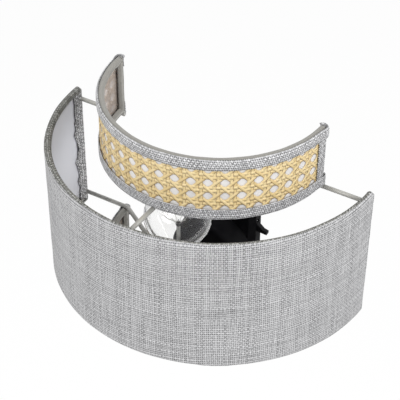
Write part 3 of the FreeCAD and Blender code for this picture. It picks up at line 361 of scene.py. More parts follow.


# pitches and relief in mm, slubs as scales of a noise, shares as changes of the tone, shades as painted shade
# between threads
linenFinish = {
    "warpPitch": 1.7, "weftPitch": 2.1, "warpSlub": (620, 22, 1), "weftSlub": (16, 560, 1),
    "threadShare": 0.19, "slubShare": 0.72, "speck": 0.12, "twoTone": 0.10,
    "gapShade": 0.82, "yarnShade": 0.1, "rowShade": 0.1, "wander": 1.8, "skew": 0.0, "slope": 0.035,
    "relief": 0.12, "sheen": 0.0,
    "stops": [
        (0.0, (0.07, 0.07, 0.072)), (0.35, (0.26, 0.26, 0.264)),
        (0.58, (0.43, 0.43, 0.436)), (0.92, (0.57, 0.57, 0.577)),
    ],
}
tapeFinish = {
    "warpPitch": 1.8, "weftPitch": 1.85, "warpSlub": (500, 100, 1), "weftSlub": (100, 500, 1),
    "threadShare": 0.22, "slubShare": 0.25, "speck": 0.20, "twoTone": 0.14,
    "gapShade": 1.1, "yarnShade": 0.2, "rowShade": 0.08, "wander": 1.4, "skew": 0.35, "slope": 0.0,
    "relief": 0.26, "sheen": 0.1,
    "stops": [
        (0.0, (0.07, 0.07, 0.07)), (0.30, (0.21, 0.21, 0.214)),
        (0.58, (0.44, 0.44, 0.448)), (0.88, (0.74, 0.74, 0.75)),
    ],
}
rimFinish = {
    "warpPitch": 1.8, "weftPitch": 1.8, "warpSlub": (600, 120, 1), "weftSlub": (120, 600, 1),
    "threadShare": 0.25, "slubShare": 0.3, "speck": 0.40, "twoTone": 0.2,
    "gapShade": 1.5, "yarnShade": 0.25, "rowShade": 0.0, "wander": 0.0, "skew": 0.25, "slope": 0.0,
    "relief": 0.28, "sheen": 0.0,
    "stops": [
        (0.0, (0.07, 0.07, 0.06)), (0.38, (0.12, 0.12, 0.112)),
        (0.62, (0.215, 0.215, 0.203)), (0.95, (0.43, 0.43, 0.415)),
    ],
}
foldFinish = {
    "warpPitch": 2.0, "weftPitch": 2.0, "warpSlub": (560, 90, 1), "weftSlub": (90, 560, 1),
    "threadShare": 0.25, "slubShare": 0.4, "speck": 0.35, "twoTone": 0.18,
    "gapShade": 1.7, "yarnShade": 0.25, "rowShade": 0.0, "wander": 1.5, "skew": 0.3, "slope": 0.0,
    "relief": 0.28, "sheen": 0.1,
    "stops": [
        (0.0, (0.07, 0.07, 0.07)), (0.35, (0.23, 0.23, 0.235)),
        (0.60, (0.40, 0.40, 0.405)), (0.92, (0.76, 0.76, 0.77)),
    ],
}
bindingFinish = {
    "warpPitch": 0.32, "weftPitch": 0.32, "warpSlub": (700, 90, 1), "weftSlub": (90, 700, 1),
    "threadShare": 0.2, "slubShare": 0.8, "speck": 0.10, "twoTone": 0.0,
    "gapShade": 0.3, "yarnShade": 0.0, "rowShade": 0.0, "wander": 0.0, "skew": 0.0, "slope": 0.0,
    "relief": 0.04, "sheen": 0.25,
    "stops": [(0.15, (0.22, 0.214, 0.195)), (0.50, (0.263, 0.255, 0.233)), (0.90, (0.308, 0.30, 0.276))],
}
slubLinen = clothMaterial("slub linen", linenFinish)
greyTape = clothMaterial("grey tape", tapeFinish)
rimLinen = clothMaterial("rim linen", rimFinish)
foldLinen = clothMaterial("fold linen", foldFinish)
greigeBinding = clothMaterial("greige binding", bindingFinish)


glossFiner = 2.3  # the gloss of a plain finish changes on a finer scale than its tone


def plainMaterial(name, dark, light, scale, rough, relief, reliefScale, stretch=(1, 1, 1), **values):
    # a finish with soft tone changes, uneven gloss and a fine surface
    material, tree, shader = startMaterial(name, **values)
    tone = objectNoise(tree, scale, detail=4.0, stretch=stretch)
    tree.links.new(ramp(tree, tone, [(0.3, dark), (0.7, light)]), shader.inputs["Base Color"])
    glossInto(tree, shader, objectNoise(tree, scale * glossFiner, detail=2.0, stretch=stretch), *rough)
    bumpInto(tree, shader, objectNoise(tree, reliefScale, stretch=stretch), relief)
    return material


powderBlack = plainMaterial(
    "powder black", (0.004, 0.004, 0.005), (0.009, 0.009, 0.010),
    scale=60, rough=(0.46, 0.6), relief=0.03, reliefScale=900, specular=0.03,
)
mouldedBlack = plainMaterial(
    "moulded black", (0.005, 0.005, 0.006), (0.011, 0.011, 0.012),
    scale=40, rough=(0.36, 0.5), relief=0.04, reliefScale=1400, specular=0.12,
)
paintedWire = plainMaterial(
    "painted wire", (0.33, 0.325, 0.302), (0.41, 0.405, 0.377),
    scale=90, rough=(0.32, 0.48), relief=0.05, reliefScale=500, coat=0.15,
)
zincPlate = plainMaterial(
    "zinc plate", (0.50, 0.51, 0.52), (0.66, 0.66, 0.65),
    scale=120, rough=(0.28, 0.45), relief=0.02, reliefScale=700, metal=1.0,
)
plainBrass = plainMaterial(
    "plain brass", (0.62, 0.44, 0.18), (0.78, 0.58, 0.28),
    scale=90, rough=(0.22, 0.38), relief=0.02, reliefScale=600, metal=1.0,
)
rolledCap = plainMaterial(
    "rolled cap", (0.62, 0.61, 0.58), (0.76, 0.75, 0.72),
    scale=80, rough=(0.2, 0.34), relief=0.02, reliefScale=500, metal=1.0,
)
whiteNylon = plainMaterial(
    "white nylon", (0.70, 0.69, 0.65), (0.78, 0.77, 0.74),
    scale=70, rough=(0.4, 0.5), relief=0.03, reliefScale=900,
)
glazedWhite = plainMaterial(
    "glazed white", (0.72, 0.71, 0.67), (0.80, 0.79, 0.76),
    scale=50, rough=(0.12, 0.22), relief=0.03, reliefScale=300,
)
blackRubber = plainMaterial(
    "black rubber", (0.012, 0.012, 0.012), (0.022, 0.022, 0.022),
    scale=60, rough=(0.6, 0.75), relief=0.06, reliefScale=1100,
)
blackVitreous = plainMaterial(
    "black vitreous", (0.006, 0.006, 0.010), (0.014, 0.014, 0.022),
    scale=90, rough=(0.08, 0.16), relief=0.02, reliefScale=400,
)
stemTube = plainMaterial(
    "stem tube", (0.50, 0.50, 0.48), (0.66, 0.66, 0.63),
    scale=120, rough=(0.12, 0.25), relief=0.01, reliefScale=900, metal=0.3,
)
darkBead = plainMaterial(
    "dark bead", (0.05, 0.05, 0.052), (0.10, 0.10, 0.10),
    scale=300, rough=(0.1, 0.2), relief=0.01, reliefScale=900,
)
drawnTungsten = plainMaterial(
    "drawn tungsten", (0.50, 0.49, 0.47), (0.64, 0.63, 0.61),
    scale=400, rough=(0.35, 0.5), relief=0.01, reliefScale=2000, metal=1.0,
)
linerSheet = plainMaterial(
    "liner sheet", (0.585, 0.59, 0.63), (0.645, 0.65, 0.69),
    scale=14, rough=(0.38, 0.5), relief=0.06, reliefScale=60, stretch=(1, 1, 0.3), specular=0.35,
)


def filmMaterial(name, dark, light, throughShare, milkShare):
    # one face of the thin frosted film: part clear, part milky, and light comes through it
    material, tree, shader = startMaterial(name, rough=0.5, specular=0.12)
    tone = ramp(tree, objectNoise(tree, scale=30), [(0.3, dark), (0.7, light)])
    tree.links.new(tone, shader.inputs["Base Color"])
    bumpInto(tree, shader, objectNoise(tree, scale=90, detail=2.0), distance=0.05)
    through = node(tree, "BsdfTranslucent", links=[(0, tone)])
    milky = mixShaders(tree, throughShare, shader.outputs[0], through.outputs[0])
    mixed = mixShaders(tree, milkShare, node(tree, "BsdfTransparent").outputs[0], milky)
    tree.links.new(mixed, tree.nodes["Material Output"].inputs[0])
    return material


frostedFilm = filmMaterial(
    "frosted film", (0.92, 0.91, 0.90), (0.97, 0.96, 0.95), throughShare=0.36, milkShare=0.87
)
# the film's inner face is painted darker and browner: painted shade, tinted like the cane seen through it
filmInsideShade = filmMaterial(
    "film inside painted shade", (0.36, 0.295, 0.255), (0.44, 0.37, 0.325), throughShare=0.35, milkShare=0.55
)

# a strand's map goes from 0 to 1 across it, painted shadow in brown lies along its edges, more along one than
# the other
caneFinish = {
    "fibres": (9, 60, 1), "fibreShare": 0.45, "toneShare": 0.55, "rough": (0.34, 0.52), "relief": 0.03,
    "stops": [(0.15, (0.58, 0.45, 0.205)), (0.45, (0.635, 0.51, 0.258)), (0.8, (0.68, 0.565, 0.31))],
    "edge": (0.17, 0.09), "edgeShadowShares": (0.8, 0.12), "shadowBrown": (0.16, 0.07, 0.02, 1),
    "through": (0.19, 0.11, 0.06, 1),
}


def caneMaterial(finish):
    # split cane: glossy skin, long fibres, and painted shadow in brown along its edges
    material, tree, shader = startMaterial("split cane", specular=0.5, coat=0.12, coatRough=0.35)
    uvMap = node(tree, "UVMap", uv_map="threads").outputs[0]
    across = node(tree, "SeparateXYZ", links=[(0, uvMap)]).outputs[0]
    fibres = noiseOn(tree, uvMap, finish["fibres"], scale=1.0, detail=4.0)
    own = node(tree, "Attribute", attribute_name="tone").outputs["Fac"]
    tone = maths(
        tree, "ADD", maths(tree, "MULTIPLY", fibres, finish["fibreShare"]),
        maths(tree, "MULTIPLY", own, finish["toneShare"]),
    )
    skin = ramp(tree, tone, finish["stops"])
    # the brown along the edges is painted shadow where strands pass under one another
    edges = zip((across, maths(tree, "SUBTRACT", 1.0, across)), finish["edgeShadowShares"])
    edgeShadows = [mapRange(tree, edge, *finish["edge"], 0.0, share) for edge, share in edges]
    edgeShadow = maths(tree, "MAXIMUM", *edgeShadows)
    blend = node(tree, "Mix", data_type="RGBA", links=[(0, edgeShadow), (6, skin)])
    blend.inputs[7].default_value = finish["shadowBrown"]
    tree.links.new(blend.outputs[2], shader.inputs["Base Color"])
    glossInto(tree, shader, fibres, *finish["rough"])
    bumpInto(tree, shader, fibres, finish["relief"])
    through = node(tree, "BsdfTranslucent")
    through.inputs[0].default_value = finish["through"]
    both = node(tree, "AddShader", links=[(0, shader.outputs[0]), (1, through.outputs[0])])
    tree.links.new(both.outputs[0], tree.nodes["Material Output"].inputs[0])
    return material


def glassMaterial(name, ior, clear=1.0, colour=(0.985, 0.985, 0.98, 1)):
    # slightly uneven blown glass
    material, tree, shader = startMaterial(name, clear=clear, ior=ior, colour=colour)
    glossInto(tree, shader, objectNoise(tree, scale=25, detail=2.0), low=0.0, high=0.012)
    bumpInto(tree, shader, objectNoise(tree, scale=25, detail=0.0), distance=0.015)
    return material


splitCane = caneMaterial(caneFinish)
clearGlass = glassMaterial("clear glass", 1.45)
stemGlass = glassMaterial("stem glass", 1.5, clear=0.25, colour=(0.74, 0.75, 0.75, 1))
print("materials made")

# camera at the photograph's view, taken as 400 by 400
view = {
    "azimuth": 0.549, "elevation": 0.665, "roll": 0.006, "distance": 1086.43,
    "target": (18.563, -74.0, 100.311), "lens": 116.13, "sensor": 36, "clipStart": 0.05, "clipEnd": 20,
}


def placeCamera():
    az, el, roll = view["azimuth"], view["elevation"], view["roll"]
    back = Vector((math.sin(az) * math.cos(el), -math.cos(az) * math.cos(el), math.sin(el)))
    level = Vector((math.cos(az), math.sin(az), 0))
    upward = back.cross(level)
    right = level * math.cos(roll) + upward * math.sin(roll)
    up = upward * math.cos(roll) - level * math.sin(roll)
    data = bpy.data.cameras.new("camera")
    data.lens = view["lens"]
    data.sensor_width = view["sensor"]
    data.clip_start = view["clipStart"]
    data.clip_end = view["clipEnd"]
    camera = bpy.data.objects.new("camera", data)
    bpy.context.scene.collection.objects.link(camera)
    turned = Matrix((right, up, back)).transposed().to_4x4()
    place = (Vector(view["target"]) + back * view["distance"]) * mm
    camera.matrix_world = Matrix.Translation(place) @ turned
    bpy.context.scene.camera = camera


placeCamera()

# plain studio: pale floor well below the lamp, even sky, two broad soft lamps
studio = {
    "floor": -0.55, "floorHalf": 6, "floorColour": (0.86, 0.86, 0.86, 1), "floorRough": 0.9,
    "floorGlow": 0.88, "sky": 0.79, "seenSky": 1.0, "aim": (0, -0.08, 0.06),
    "key": 19, "keySize": 1.2, "keyPlace": (-0.3, -1.6, 1.1),
    "fill": 20, "fillSize": 1.4, "fillPlace": (1.6, 0.05, 0.95),
}


def pathShare(tree):
    # 1 for what the eye, a gloss or a glass sees
    path = node(tree, "LightPath")
    seen = maths(tree, "MAXIMUM", path.outputs["Is Camera Ray"], path.outputs["Is Glossy Ray"])
    return maths(tree, "MAXIMUM", seen, path.outputs["Is Transmission Ray"])


def makeStudio():
    scene = bpy.context.scene
    scene.view_settings.view_transform = "Standard"
    world = bpy.data.worlds.new("sky")
    scene.world = world
    world.use_nodes = True
    tree = world.node_tree
    background = tree.nodes["Background"]
    background.inputs[0].default_value = (1, 1, 1, 1)
    strength = mapRange(tree, pathShare(tree), 0.0, 1.0, studio["sky"], studio["seenSky"])
    tree.links.new(strength, background.inputs[1])

    bm = bmesh.new()
    place = Matrix.Translation((0, 0, studio["floor"]))
    bmesh.ops.create_grid(bm, x_segments=8, y_segments=8, size=studio["floorHalf"], matrix=place)
    mesh = bpy.data.meshes.new("floor")
    bm.to_mesh(mesh)
    bm.free()
    floor = bpy.data.objects.new("floor", mesh)
    scene.collection.objects.link(floor)
    material, tree, shader = startMaterial(
        "pale floor", colour=studio["floorColour"], rough=studio["floorRough"]
    )
    glow = node(tree, "Emission")
    glow.inputs[1].default_value = 1.0
    mostly = maths(tree, "MULTIPLY", pathShare(tree), studio["floorGlow"])
    mixed = mixShaders(tree, mostly, shader.outputs[0], glow.outputs[0])
    tree.links.new(mixed, tree.nodes["Material Output"].inputs[0])
    mesh.materials.append(material)

    for name in ("key", "fill"):
        place = studio[name + "Place"]
        data = bpy.data.lights.new(name, "AREA")
        data.energy = studio[name]
        data.size = studio[name + "Size"]
        light = bpy.data.objects.new(name, data)
        scene.collection.objects.link(light)
        aim = Vector(studio["aim"]) - Vector(place)
        light.matrix_world = Matrix.Translation(place) @ aim.to_track_quat("-Z", "Y").to_matrix().to_4x4()


makeStudio()
print("camera and studio placed")

# the bare wires at the drum's two levels: sideways ones, a front one, and below two slanting ones,
# grip is how close cloth comes to a wire's middle
wires = {
    "level": 53.65, "depth": 2.75, "sideways": (97.5, 148), "front": (-98, -158), "grip": 2.3,
    "slantWide": 97.2, "slantNarrow": 24, "slantFront": -63.5,
}


def wireLines(side):
    # the middles of the wires at one of the two levels, side 1 is the upper one
    z = shade["middle"] + wires["level"] * side
    y = shade["back"] - wires["depth"]
    near, far = wires["sideways"]
    plan = [((-far, y), (-near, y)), ((near, y), (far, y)), tuple((0, front) for front in wires["front"])]
    if side < 0:
        for way in (-1, 1):
            plan.append(((wires["slantWide"] * way, y), (wires["slantNarrow"] * way, wires["slantFront"])))
    return [(Vector((*start, z)) * mm, Vector((*end, z)) * mm) for start, end in plan]


# outer drum: linen over the hoops, liner, folds over the end wires
# a darker linen finish covers the hem's inside and, farther to the left, more of its outside:
# rimSplit is how far out from hemMiddle it goes at the two angles of rimTurn
drum = {
    "radius": 150, "wall": 150.8, "hemRadius": 3.2, "hemMiddle": 147.6, "hemLevel": 62.7, "hemLeg": 1.2,
    "hemSteps": 12, "reach": 88.87, "steps": 150, "rows": 36, "rimSplit": (1.1, 3.17), "rimTurn": (15, 52.5),
}
liner = {"radius": 149.8, "level": 60.6, "rows": 12, "reach": 87.4, "thick": 0.8}
fold = {
    "rollSteps": 10, "leg": 7.2, "legSteps": 8, "lean": 3.0, "rows": 64,
    "waves": [(17, 9, 1, 6.5), (6, 5, 4, 3.25)], "sways": [(9, 3, 7, 0.7)],
}


def makeDrumLinen():
    radius, middle, level, leg = drum["hemRadius"], drum["hemMiddle"], drum["hemLevel"], drum["hemLeg"]
    inner = middle - radius
    top = arcPoints(middle, level, radius, 180, 0, drum["hemSteps"])
    wall = [(drum["wall"], level * (1 - 2 * n / drum["rows"])) for n in range(1, drum["rows"])]
    bottom = arcPoints(middle, -level, radius, 0, -180, drum["hemSteps"])
    profile = [(inner, level - leg)] + top + wall + bottom + [(inner, -level + leg)]
    bm = startCloth()
    verts = chain(bm, [at(-drum["reach"], r, z) for r, z in profile])
    sweepAround(bm, verts, drum["reach"], drum["steps"])
    facePoint(bm, fromAxis)
    narrow, wide = drum["rimSplit"]
    first, last = drum["rimTurn"]
    for face in bm.faces:
        offset = face.calc_center_median() - at(0, 0)
        left = math.degrees(math.atan2(-offset.x, -offset.y))
        share = max(0.0, min(1.0, (left - first) / (last - first)))
        split = middle + narrow + (wide - narrow) * share
        face.material_index = 1 if math.hypot(offset.x, offset.y) < split * mm else 0
    mapThreads(bm, lambda vert: aroundShade(vert, drum["radius"]))
    ripple(bm, height=0.22, length=22, seed=3)
    piece = finishPiece(
        "drumLinen", bm, slubLinen, replaces=["outer_linen"], thick=shade["cloth"]
    )
    piece.data.materials.append(rimLinen)


def makeDrumLiner():
    bm = startCloth()
    heights = [liner["level"] * (1 - 2 * n / liner["rows"]) for n in range(liner["rows"] + 1)]
    verts = chain(bm, [at(-liner["reach"], liner["radius"], z) for z in heights])
    sweepAround(bm, verts, liner["reach"], drum["steps"])
    facePoint(bm, fromAxis)
    finishPiece(
        "drumLiner", bm, linerSheet, replaces=["outer_liner"], thick=liner["thick"]
    )


def makeEndFolds():
    radius, middle = drum["hemRadius"], drum["hemMiddle"]
    around = arcPoints(middle, radius, radius, 0, -180, fold["rollSteps"])
    shares = [n / fold["legSteps"] for n in range(1, fold["legSteps"] + 1)]
    flat = [(middle - radius + fold["lean"] * share ** 1.5, radius + fold["leg"] * share) for share in shares]
    rollBack = (shade["back"] - radius) * mm
    for side, name in ((-1, "leftFold"), (1, "rightFold")):
        bm = startCloth()
        bottom = shade["middle"] - drum["hemLevel"]
        verts = chain(bm, [Vector((x * side, shade["back"] - y, bottom)) * mm for x, y in around + flat])
        shiftOut(bm, withEdges(verts), (0, 0, 2 * drum["hemLevel"] * mm), fold["rows"])
        run = bm.verts.layers.float["run"]
        start = math.pi * radius * mm
        for vert in bm.verts:
            share = max(0.0, (vert[run] - start) / (fold["leg"] * mm))
            z = vert.co.z / mm
            vert.co.y += share * waveAt(z, side, fold["waves"]) * mm
            vert.co.x += side * share * waveAt(z, side, fold["sways"]) * mm

        def outwards(centre):
            return Vector((-side, 0, 0)) if centre.y < rollBack else Vector((0, 1, 0))

        facePoint(bm, outwards)
        ripple(bm, height=0.2, length=6, seed=5)
        pressBy(bm, wireLines(1)[:2] + wireLines(-1)[:2], wires["grip"])
        mapThreads(bm, lambda vert: vert.co.z)
        piece = finishPiece(
            name, bm, foldLinen, replaces=["outer_end_folds"] if side < 0 else [],
            thick=shade["cloth"],
        )


makeDrumLinen()
makeDrumLiner()
makeEndFolds()
print("drum made")

# cane rings: heights from a ring's middle, flare and lobe widen the tapes where they turn round the end wires
ring = {
    "rise": 83.7, "reach": 88.12, "steps": 120, "panelTop": 26.3, "hoopLevel": 26.55, "rollMiddle": 99.8,
    "rollRadius": 3.0, "lobe": 0.8, "flare": 1.3, "flareRun": 6.5,
}
film = {"radius": 101.75, "reach": 87.0, "rows": 6, "thick": 0.4}
cane = {
    "radius": 102.45, "reach": 86.6, "firstAngle": -81.6, "stepAngle": 7.7, "columns": 22,
    "rowStart": -19.1, "rowStep": 13.1, "rows": 4,
    "edge": 0.15, "rowEdge": 1.2, "slantEdge": 3, "spareSlants": 6,
    "pair": 1.52, "sway": 0.08, "cross": 0.06, "slantLift": 0.08, "crown": 0.012, "thick": 0.17,
}
# a strand's width, how it varies, and the length of its faces
upStrand = {"width": 2.85, "spread": (-0.12, 0.08), "step": 1.15}
levelStrand = {"width": 3.1, "spread": (-0.12, 0.08), "step": 1.3}
slantStrand = {"width": 2.8, "spread": (-0.12, 0.1), "step": 1.9}


def makeFilm(which, side):
    bm = startCloth()
    middle = ring["rise"] * side
    heights = [ring["panelTop"] * (1 - 2 * n / film["rows"]) for n in range(film["rows"] + 1)]
    verts = chain(bm, [at(-film["reach"], film["radius"], middle + z) for z in heights])
    sweepAround(bm, verts, film["reach"], ring["steps"])
    facePoint(bm, fromAxis)
    piece = finishPiece(
        which + "Film", bm, frostedFilm, replaces=[which + "_film"],
        thick=film["thick"],
    )
    # the inner face takes the film's painted shade
    piece.data.materials.append(filmInsideShade)
    piece.modifiers["thickness"].material_offset = 1


def layStrand(bm, start, end, strand, lift, rise):
    # one split strand, drawn flat from start to end and then bent round the shade
    layers = bm.verts.layers.float
    width = strand["width"] + random.uniform(*strand["spread"])
    tone = random.random()
    way = end - start
    length = way.length
    steps = max(4, int(length / strand["step"]))
    aside = Vector((-way.y, way.x)) / length
    made = bmesh.ops.create_grid(bm, x_segments=steps, y_segments=2, size=1)
    for vert in made["verts"]:
        share = (vert.co.x + 1) / 2
        across = vert.co.y
        middle = start + way * share
        spot = middle + aside * across * width / 2
        raised = lift(middle) + cane["crown"] * (1 - across * across)
        vert[layers["along"]] = across / 2 + 0.5
        vert[layers["run"]] = share * length * mm
        vert[layers["tone"]] = tone
        angle = math.degrees(spot.x / cane["radius"])
        vert.co = at(angle, cane["radius"] + cane["thick"] / 2 + raised, rise + spot.y)


def makeCane(which, side):
    # flat distances along the curve first: x to the right, y upwards
    bm = startCloth()
    bm.verts.layers.float.new("tone")
    rise = ring["rise"] * side
    half = ring["panelTop"] - cane["edge"]
    stepX = math.radians(cane["stepAngle"]) * cane["radius"]
    firstX = math.radians(cane["firstAngle"]) * cane["radius"]
    stepY = cane["rowStep"] * side
    firstY = cane["rowStart"] * side
    limit = math.radians(cane["reach"]) * cane["radius"]
    columns = [firstX + stepX * (n - 0.5) for n in range(cane["columns"] + 1)]
    rows = [firstY + stepY * (n - 0.5) for n in range(cane["rows"] + 1)]

    def cross(distance):
        # over and under, only where a pair of strands is crossed
        near = abs(distance) < 2 * cane["pair"]
        return cane["cross"] * math.sin(math.pi * distance / (2 * cane["pair"])) if near else 0.0

    def nearest(value, places):
        return min((value - place for place in places), key=abs)

    for x in columns:
        for hand in (-1, 1):
            place = x + hand * cane["pair"] + random.uniform(-cane["sway"], cane["sway"])
            if abs(place) <= limit:
                layStrand(
                    bm, Vector((place, -half)), Vector((place, half)), upStrand,
                    lambda spot: -hand * cross(nearest(spot.y, rows)), rise,
                )
    for y in rows:
        for hand in (-1, 1):
            place = y + hand * cane["pair"] + random.uniform(-cane["sway"], cane["sway"])
            if abs(place) <= half - cane["rowEdge"]:
                layStrand(
                    bm, Vector((-limit, place)), Vector((limit, place)), levelStrand,
                    lambda spot: hand * cross(nearest(spot.x, columns)), rise,
                )
    for slant in (-1, 1):
        for number in range(-cane["spareSlants"], cane["columns"] + cane["spareSlants"]):
            ends = []
            for y in (-half, half):
                share = 0.5 + number - slant * (y - firstY) / stepY
                ends.append(Vector((firstX + share * stepX, y)))
            low, high = sorted(ends, key=lambda end: end.x)
            if high.x <= -limit + cane["slantEdge"] or low.x >= limit - cane["slantEdge"]:
                continue
            slope = (high.y - low.y) / (high.x - low.x)
            if low.x < -limit:
                low = Vector((-limit, low.y + slope * (-limit - low.x)))
            if high.x > limit:
                high = Vector((limit, high.y + slope * (limit - high.x)))
            layStrand(
                bm, low, high, slantStrand,
                lambda spot: -slant * cane["slantLift"] * math.cos(2 * math.pi * (spot.y - firstY) / stepY),
                rise,
            )
    faceEach(bm, fromAxis)
    along = bm.verts.layers.float["along"]
    mapThreads(bm, lambda vert: vert[along])
    finishPiece(
        which + "Cane", bm, splitCane, replaces=[which + "_cane"],
        thick=cane["thick"], sharp=60,
    )


# tapes glued over the panel's edges: heights from the middle of a ring, top and bottom as low and high edge
tape = {
    "radius": 103.95, "lift": 0.15, "top": (19.9, 29.75), "bottom": (-29.0, -19.0), "rows": 12, "thick": 0.75,
    "wrap": 160, "wrapSteps": 9, "edgeBand": 0.1, "edgeWave": 0.18, "waveLength": 5, "tuck": 0.45,
}
endTape = {
    "radius": 103.85, "outer": 0.6, "spread": 5.7, "spreadSteps": 8,
    "bottom": -20.5, "height": 41.8, "rows": 20, "thick": 0.65,
}


def wrapEnds(radius, depth, steps):
    # a vertical band's plan: round the shade, then round both end wires to the inside
    path = []
    for number in range(ring["steps"] + 1):
        angle = -ring["reach"] + 2 * ring["reach"] * number / ring["steps"]
        left = math.radians(ring["reach"] - abs(angle)) * radius
        share = max(0.0, 1 - left / ring["flareRun"])
        path.append(at(angle, radius + ring["flare"] * share * share * (3 - 2 * share)))
    curl = radius - ring["rollMiddle"]
    across = ring["rollMiddle"] + ring["flare"]
    back = shade["back"] - ring["rollRadius"] + ring["lobe"]
    turned = [math.radians(n * depth / steps) for n in range(1, steps + 1)]
    for hand in (1, -1):
        centre = Vector((across * hand, back, shade["middle"])) * mm
        tail = [centre + Vector((math.cos(t) * hand, math.sin(t), 0)) * curl * mm for t in turned]
        path = path + tail if hand > 0 else tail[::-1] + path
    return path


def makeTapes(which, side):
    rise = ring["rise"] * side * mm
    radius = tape["radius"] + tape["lift"]
    bend = radius - ring["rollMiddle"]
    for name, (low, high) in (("TopTape", tape["top"]), ("BottomTape", tape["bottom"])):
        bm = startCloth()
        path = wrapEnds(radius, tape["wrap"], tape["wrapSteps"])
        verts = chain(bm, [point + Vector((0, 0, rise + low * mm)) for point in path])
        run, along = keepAlong(bm, verts)
        shiftOut(bm, withEdges(verts), (0, 0, (high - low) * mm), tape["rows"])
        for vert in bm.verts:
            vert[run] = vert.co.z - rise - shade["middle"] * mm
            height = vert[run] / mm
            atTop = high - height < tape["edgeBand"]
            atBottom = height - low < tape["edgeBand"]
            if atTop or atBottom:
                wave = tape["edgeWave"] * noise.noise(vert.co / (tape["waveLength"] * mm)) * mm
                vert.co.z += wave if atTop else -wave
            # the upper part bends inwards over the roll, the lower edge is tucked in
            over = max(0.0, height - ring["hoopLevel"])
            inward = bend - math.sqrt(bend * bend - over * over) + (tape["tuck"] if atBottom else 0.0)
            vert.co -= fromAxis(vert.co) * inward * mm
        facePoint(bm, fromAxis)
        ripple(bm, height=0.16, length=9, seed=8 + side)
        pressBy(bm, wireLines(side), wires["grip"])
        mapThreads(bm, lambda vert: vert[along])
        solid = which + ("_top_tape" if name == "TopTape" else "_bottom_tape")
        piece = finishPiece(
            which + name, bm, greyTape, replaces=[solid], thick=tape["thick"]
        )


def makeEndTapes(which, side):
    rise = ring["rise"] * side
    for hand, name in ((-1, "LeftEndTape"), (1, "RightEndTape")):
        bm = startCloth()
        shares = [n / endTape["spreadSteps"] for n in range(endTape["spreadSteps"] + 1)]
        angles = [hand * (ring["reach"] + endTape["outer"] - endTape["spread"] * share) for share in shares]
        verts = chain(bm, [at(angle, endTape["radius"], rise + endTape["bottom"]) for angle in angles])
        run, along = keepAlong(bm, verts)
        shiftOut(bm, withEdges(verts), (0, 0, endTape["height"] * mm), endTape["rows"])
        for vert in bm.verts:
            vert[run] = vert.co.z - rise * mm
        facePoint(bm, fromAxis)
        ripple(bm, height=0.12, length=7, seed=2 + side)
        mapThreads(bm, lambda vert: vert[along])
        piece = finishPiece(
            which + name, bm, foldLinen,
            replaces=[which + "_end_tapes"] if hand < 0 else [], thick=endTape["thick"],
        )


# the binding's legs lie on the inside: upper and lower ones, and one at each end
binding = {
    "rollSteps": 10, "cornerSteps": 6, "uprightSteps": 24, "leg": 4.2, "legSteps": 5, "lean": 0.62,
    "legShort": 0.3, "legOver": 0.2, "legOff": 0.02, "endOver": 0.2, "endOff": 0.1,
    "insideDepth": 0.7, "sideOn": 0.05, "threadRadius": 99, "threadLean": 0.5, "weld": 0.01,
}


def makeBinding(which, side):
    # one roll all round the panel's frame, and its flat legs inside
    rise = ring["rise"] * side
    level, middle, radius, reach = ring["hoopLevel"], ring["rollMiddle"], ring["rollRadius"], ring["reach"]
    inner = middle - radius
    back = shade["back"] - radius
    numbers = range(binding["legSteps"] + 1)
    bm = startCloth()
    run = bm.verts.layers.float["run"]
    along = bm.verts.layers.float["along"]
    roll = arcPoints(middle, level, radius, 0, 180, binding["rollSteps"])
    last = sweepAround(bm, chain(bm, [at(-reach, r, rise + z) for r, z in roll]), reach, ring["steps"])

    def corner(geom, hand, z):
        centre = Vector((middle * hand, back, shade["middle"] + rise + z)) * mm
        return turnOut(bm, geom, centre, -90 * hand, binding["cornerSteps"], axis=(1, 0, 0))

    last = corner(last, 1, level)
    last = shiftOut(bm, last, (0, 0, -2 * level * mm), binding["uprightSteps"])
    last = corner(last, 1, -level)
    last = turnOut(bm, last, at(0, 0), -2 * reach, ring["steps"])
    last = corner(last, -1, -level)
    last = shiftOut(bm, last, (0, 0, 2 * level * mm), binding["uprightSteps"])
    corner(last, -1, level)

    def makeLeg(points):
        # a leg's run goes on from that of the roll
        leg = chain(bm, points)
        for vert in leg:
            vert[run] += math.pi * radius * mm
        return leg

    for way in (1, -1):
        start = level + binding["legOver"]
        drop = (binding["leg"] + binding["legOver"]) / binding["legSteps"]
        legReach = reach - binding["legShort"]
        first = inner + binding["legOff"]
        heights = [rise + way * (start - drop * n) for n in numbers]
        points = [at(-legReach, first + binding["lean"] * n, heights[n]) for n in numbers]
        sweepAround(bm, makeLeg(points), legReach, ring["steps"])
    for hand in (-1, 1):
        start = reach + binding["endOver"]
        spread = math.degrees(binding["leg"] / inner) / binding["legSteps"]
        first = inner + binding["endOff"]
        angles = [hand * (start - spread * n) for n in numbers]
        points = [at(angles[n], first + binding["lean"] * n, rise - level) for n in numbers]
        shiftOut(bm, withEdges(makeLeg(points)), (0, 0, 2 * level * mm), binding["uprightSteps"])
    bmesh.ops.remove_doubles(bm, verts=bm.verts[:], dist=binding["weld"] * mm)

    def rollOut(centre):
        offset = centre - at(0, 0, rise)
        if math.hypot(offset.x, offset.y) < (inner + binding["insideDepth"]) * mm:
            return -fromAxis(centre)
        if centre.y > back * mm and abs(offset.z) < level * mm:
            return Vector((0, 1, 0))
        return Vector((0, 0, 1 if offset.z > 0 else -1))

    faceEach(bm, rollOut, binding["sideOn"])
    for vert in bm.verts:
        vert[along] = aroundShade(vert, binding["threadRadius"]) + vert.co.z * binding["threadLean"]
    ripple(bm, height=0.2, length=11, seed=4 + side)
    pressBy(bm, wireLines(side), wires["grip"])
    mapThreads(bm, lambda vert: vert[along])
    piece = finishPiece(
        which + "Binding", bm, greigeBinding, replaces=[which + "_binding"],
        thick=shade["cloth"], sharp=70,
    )


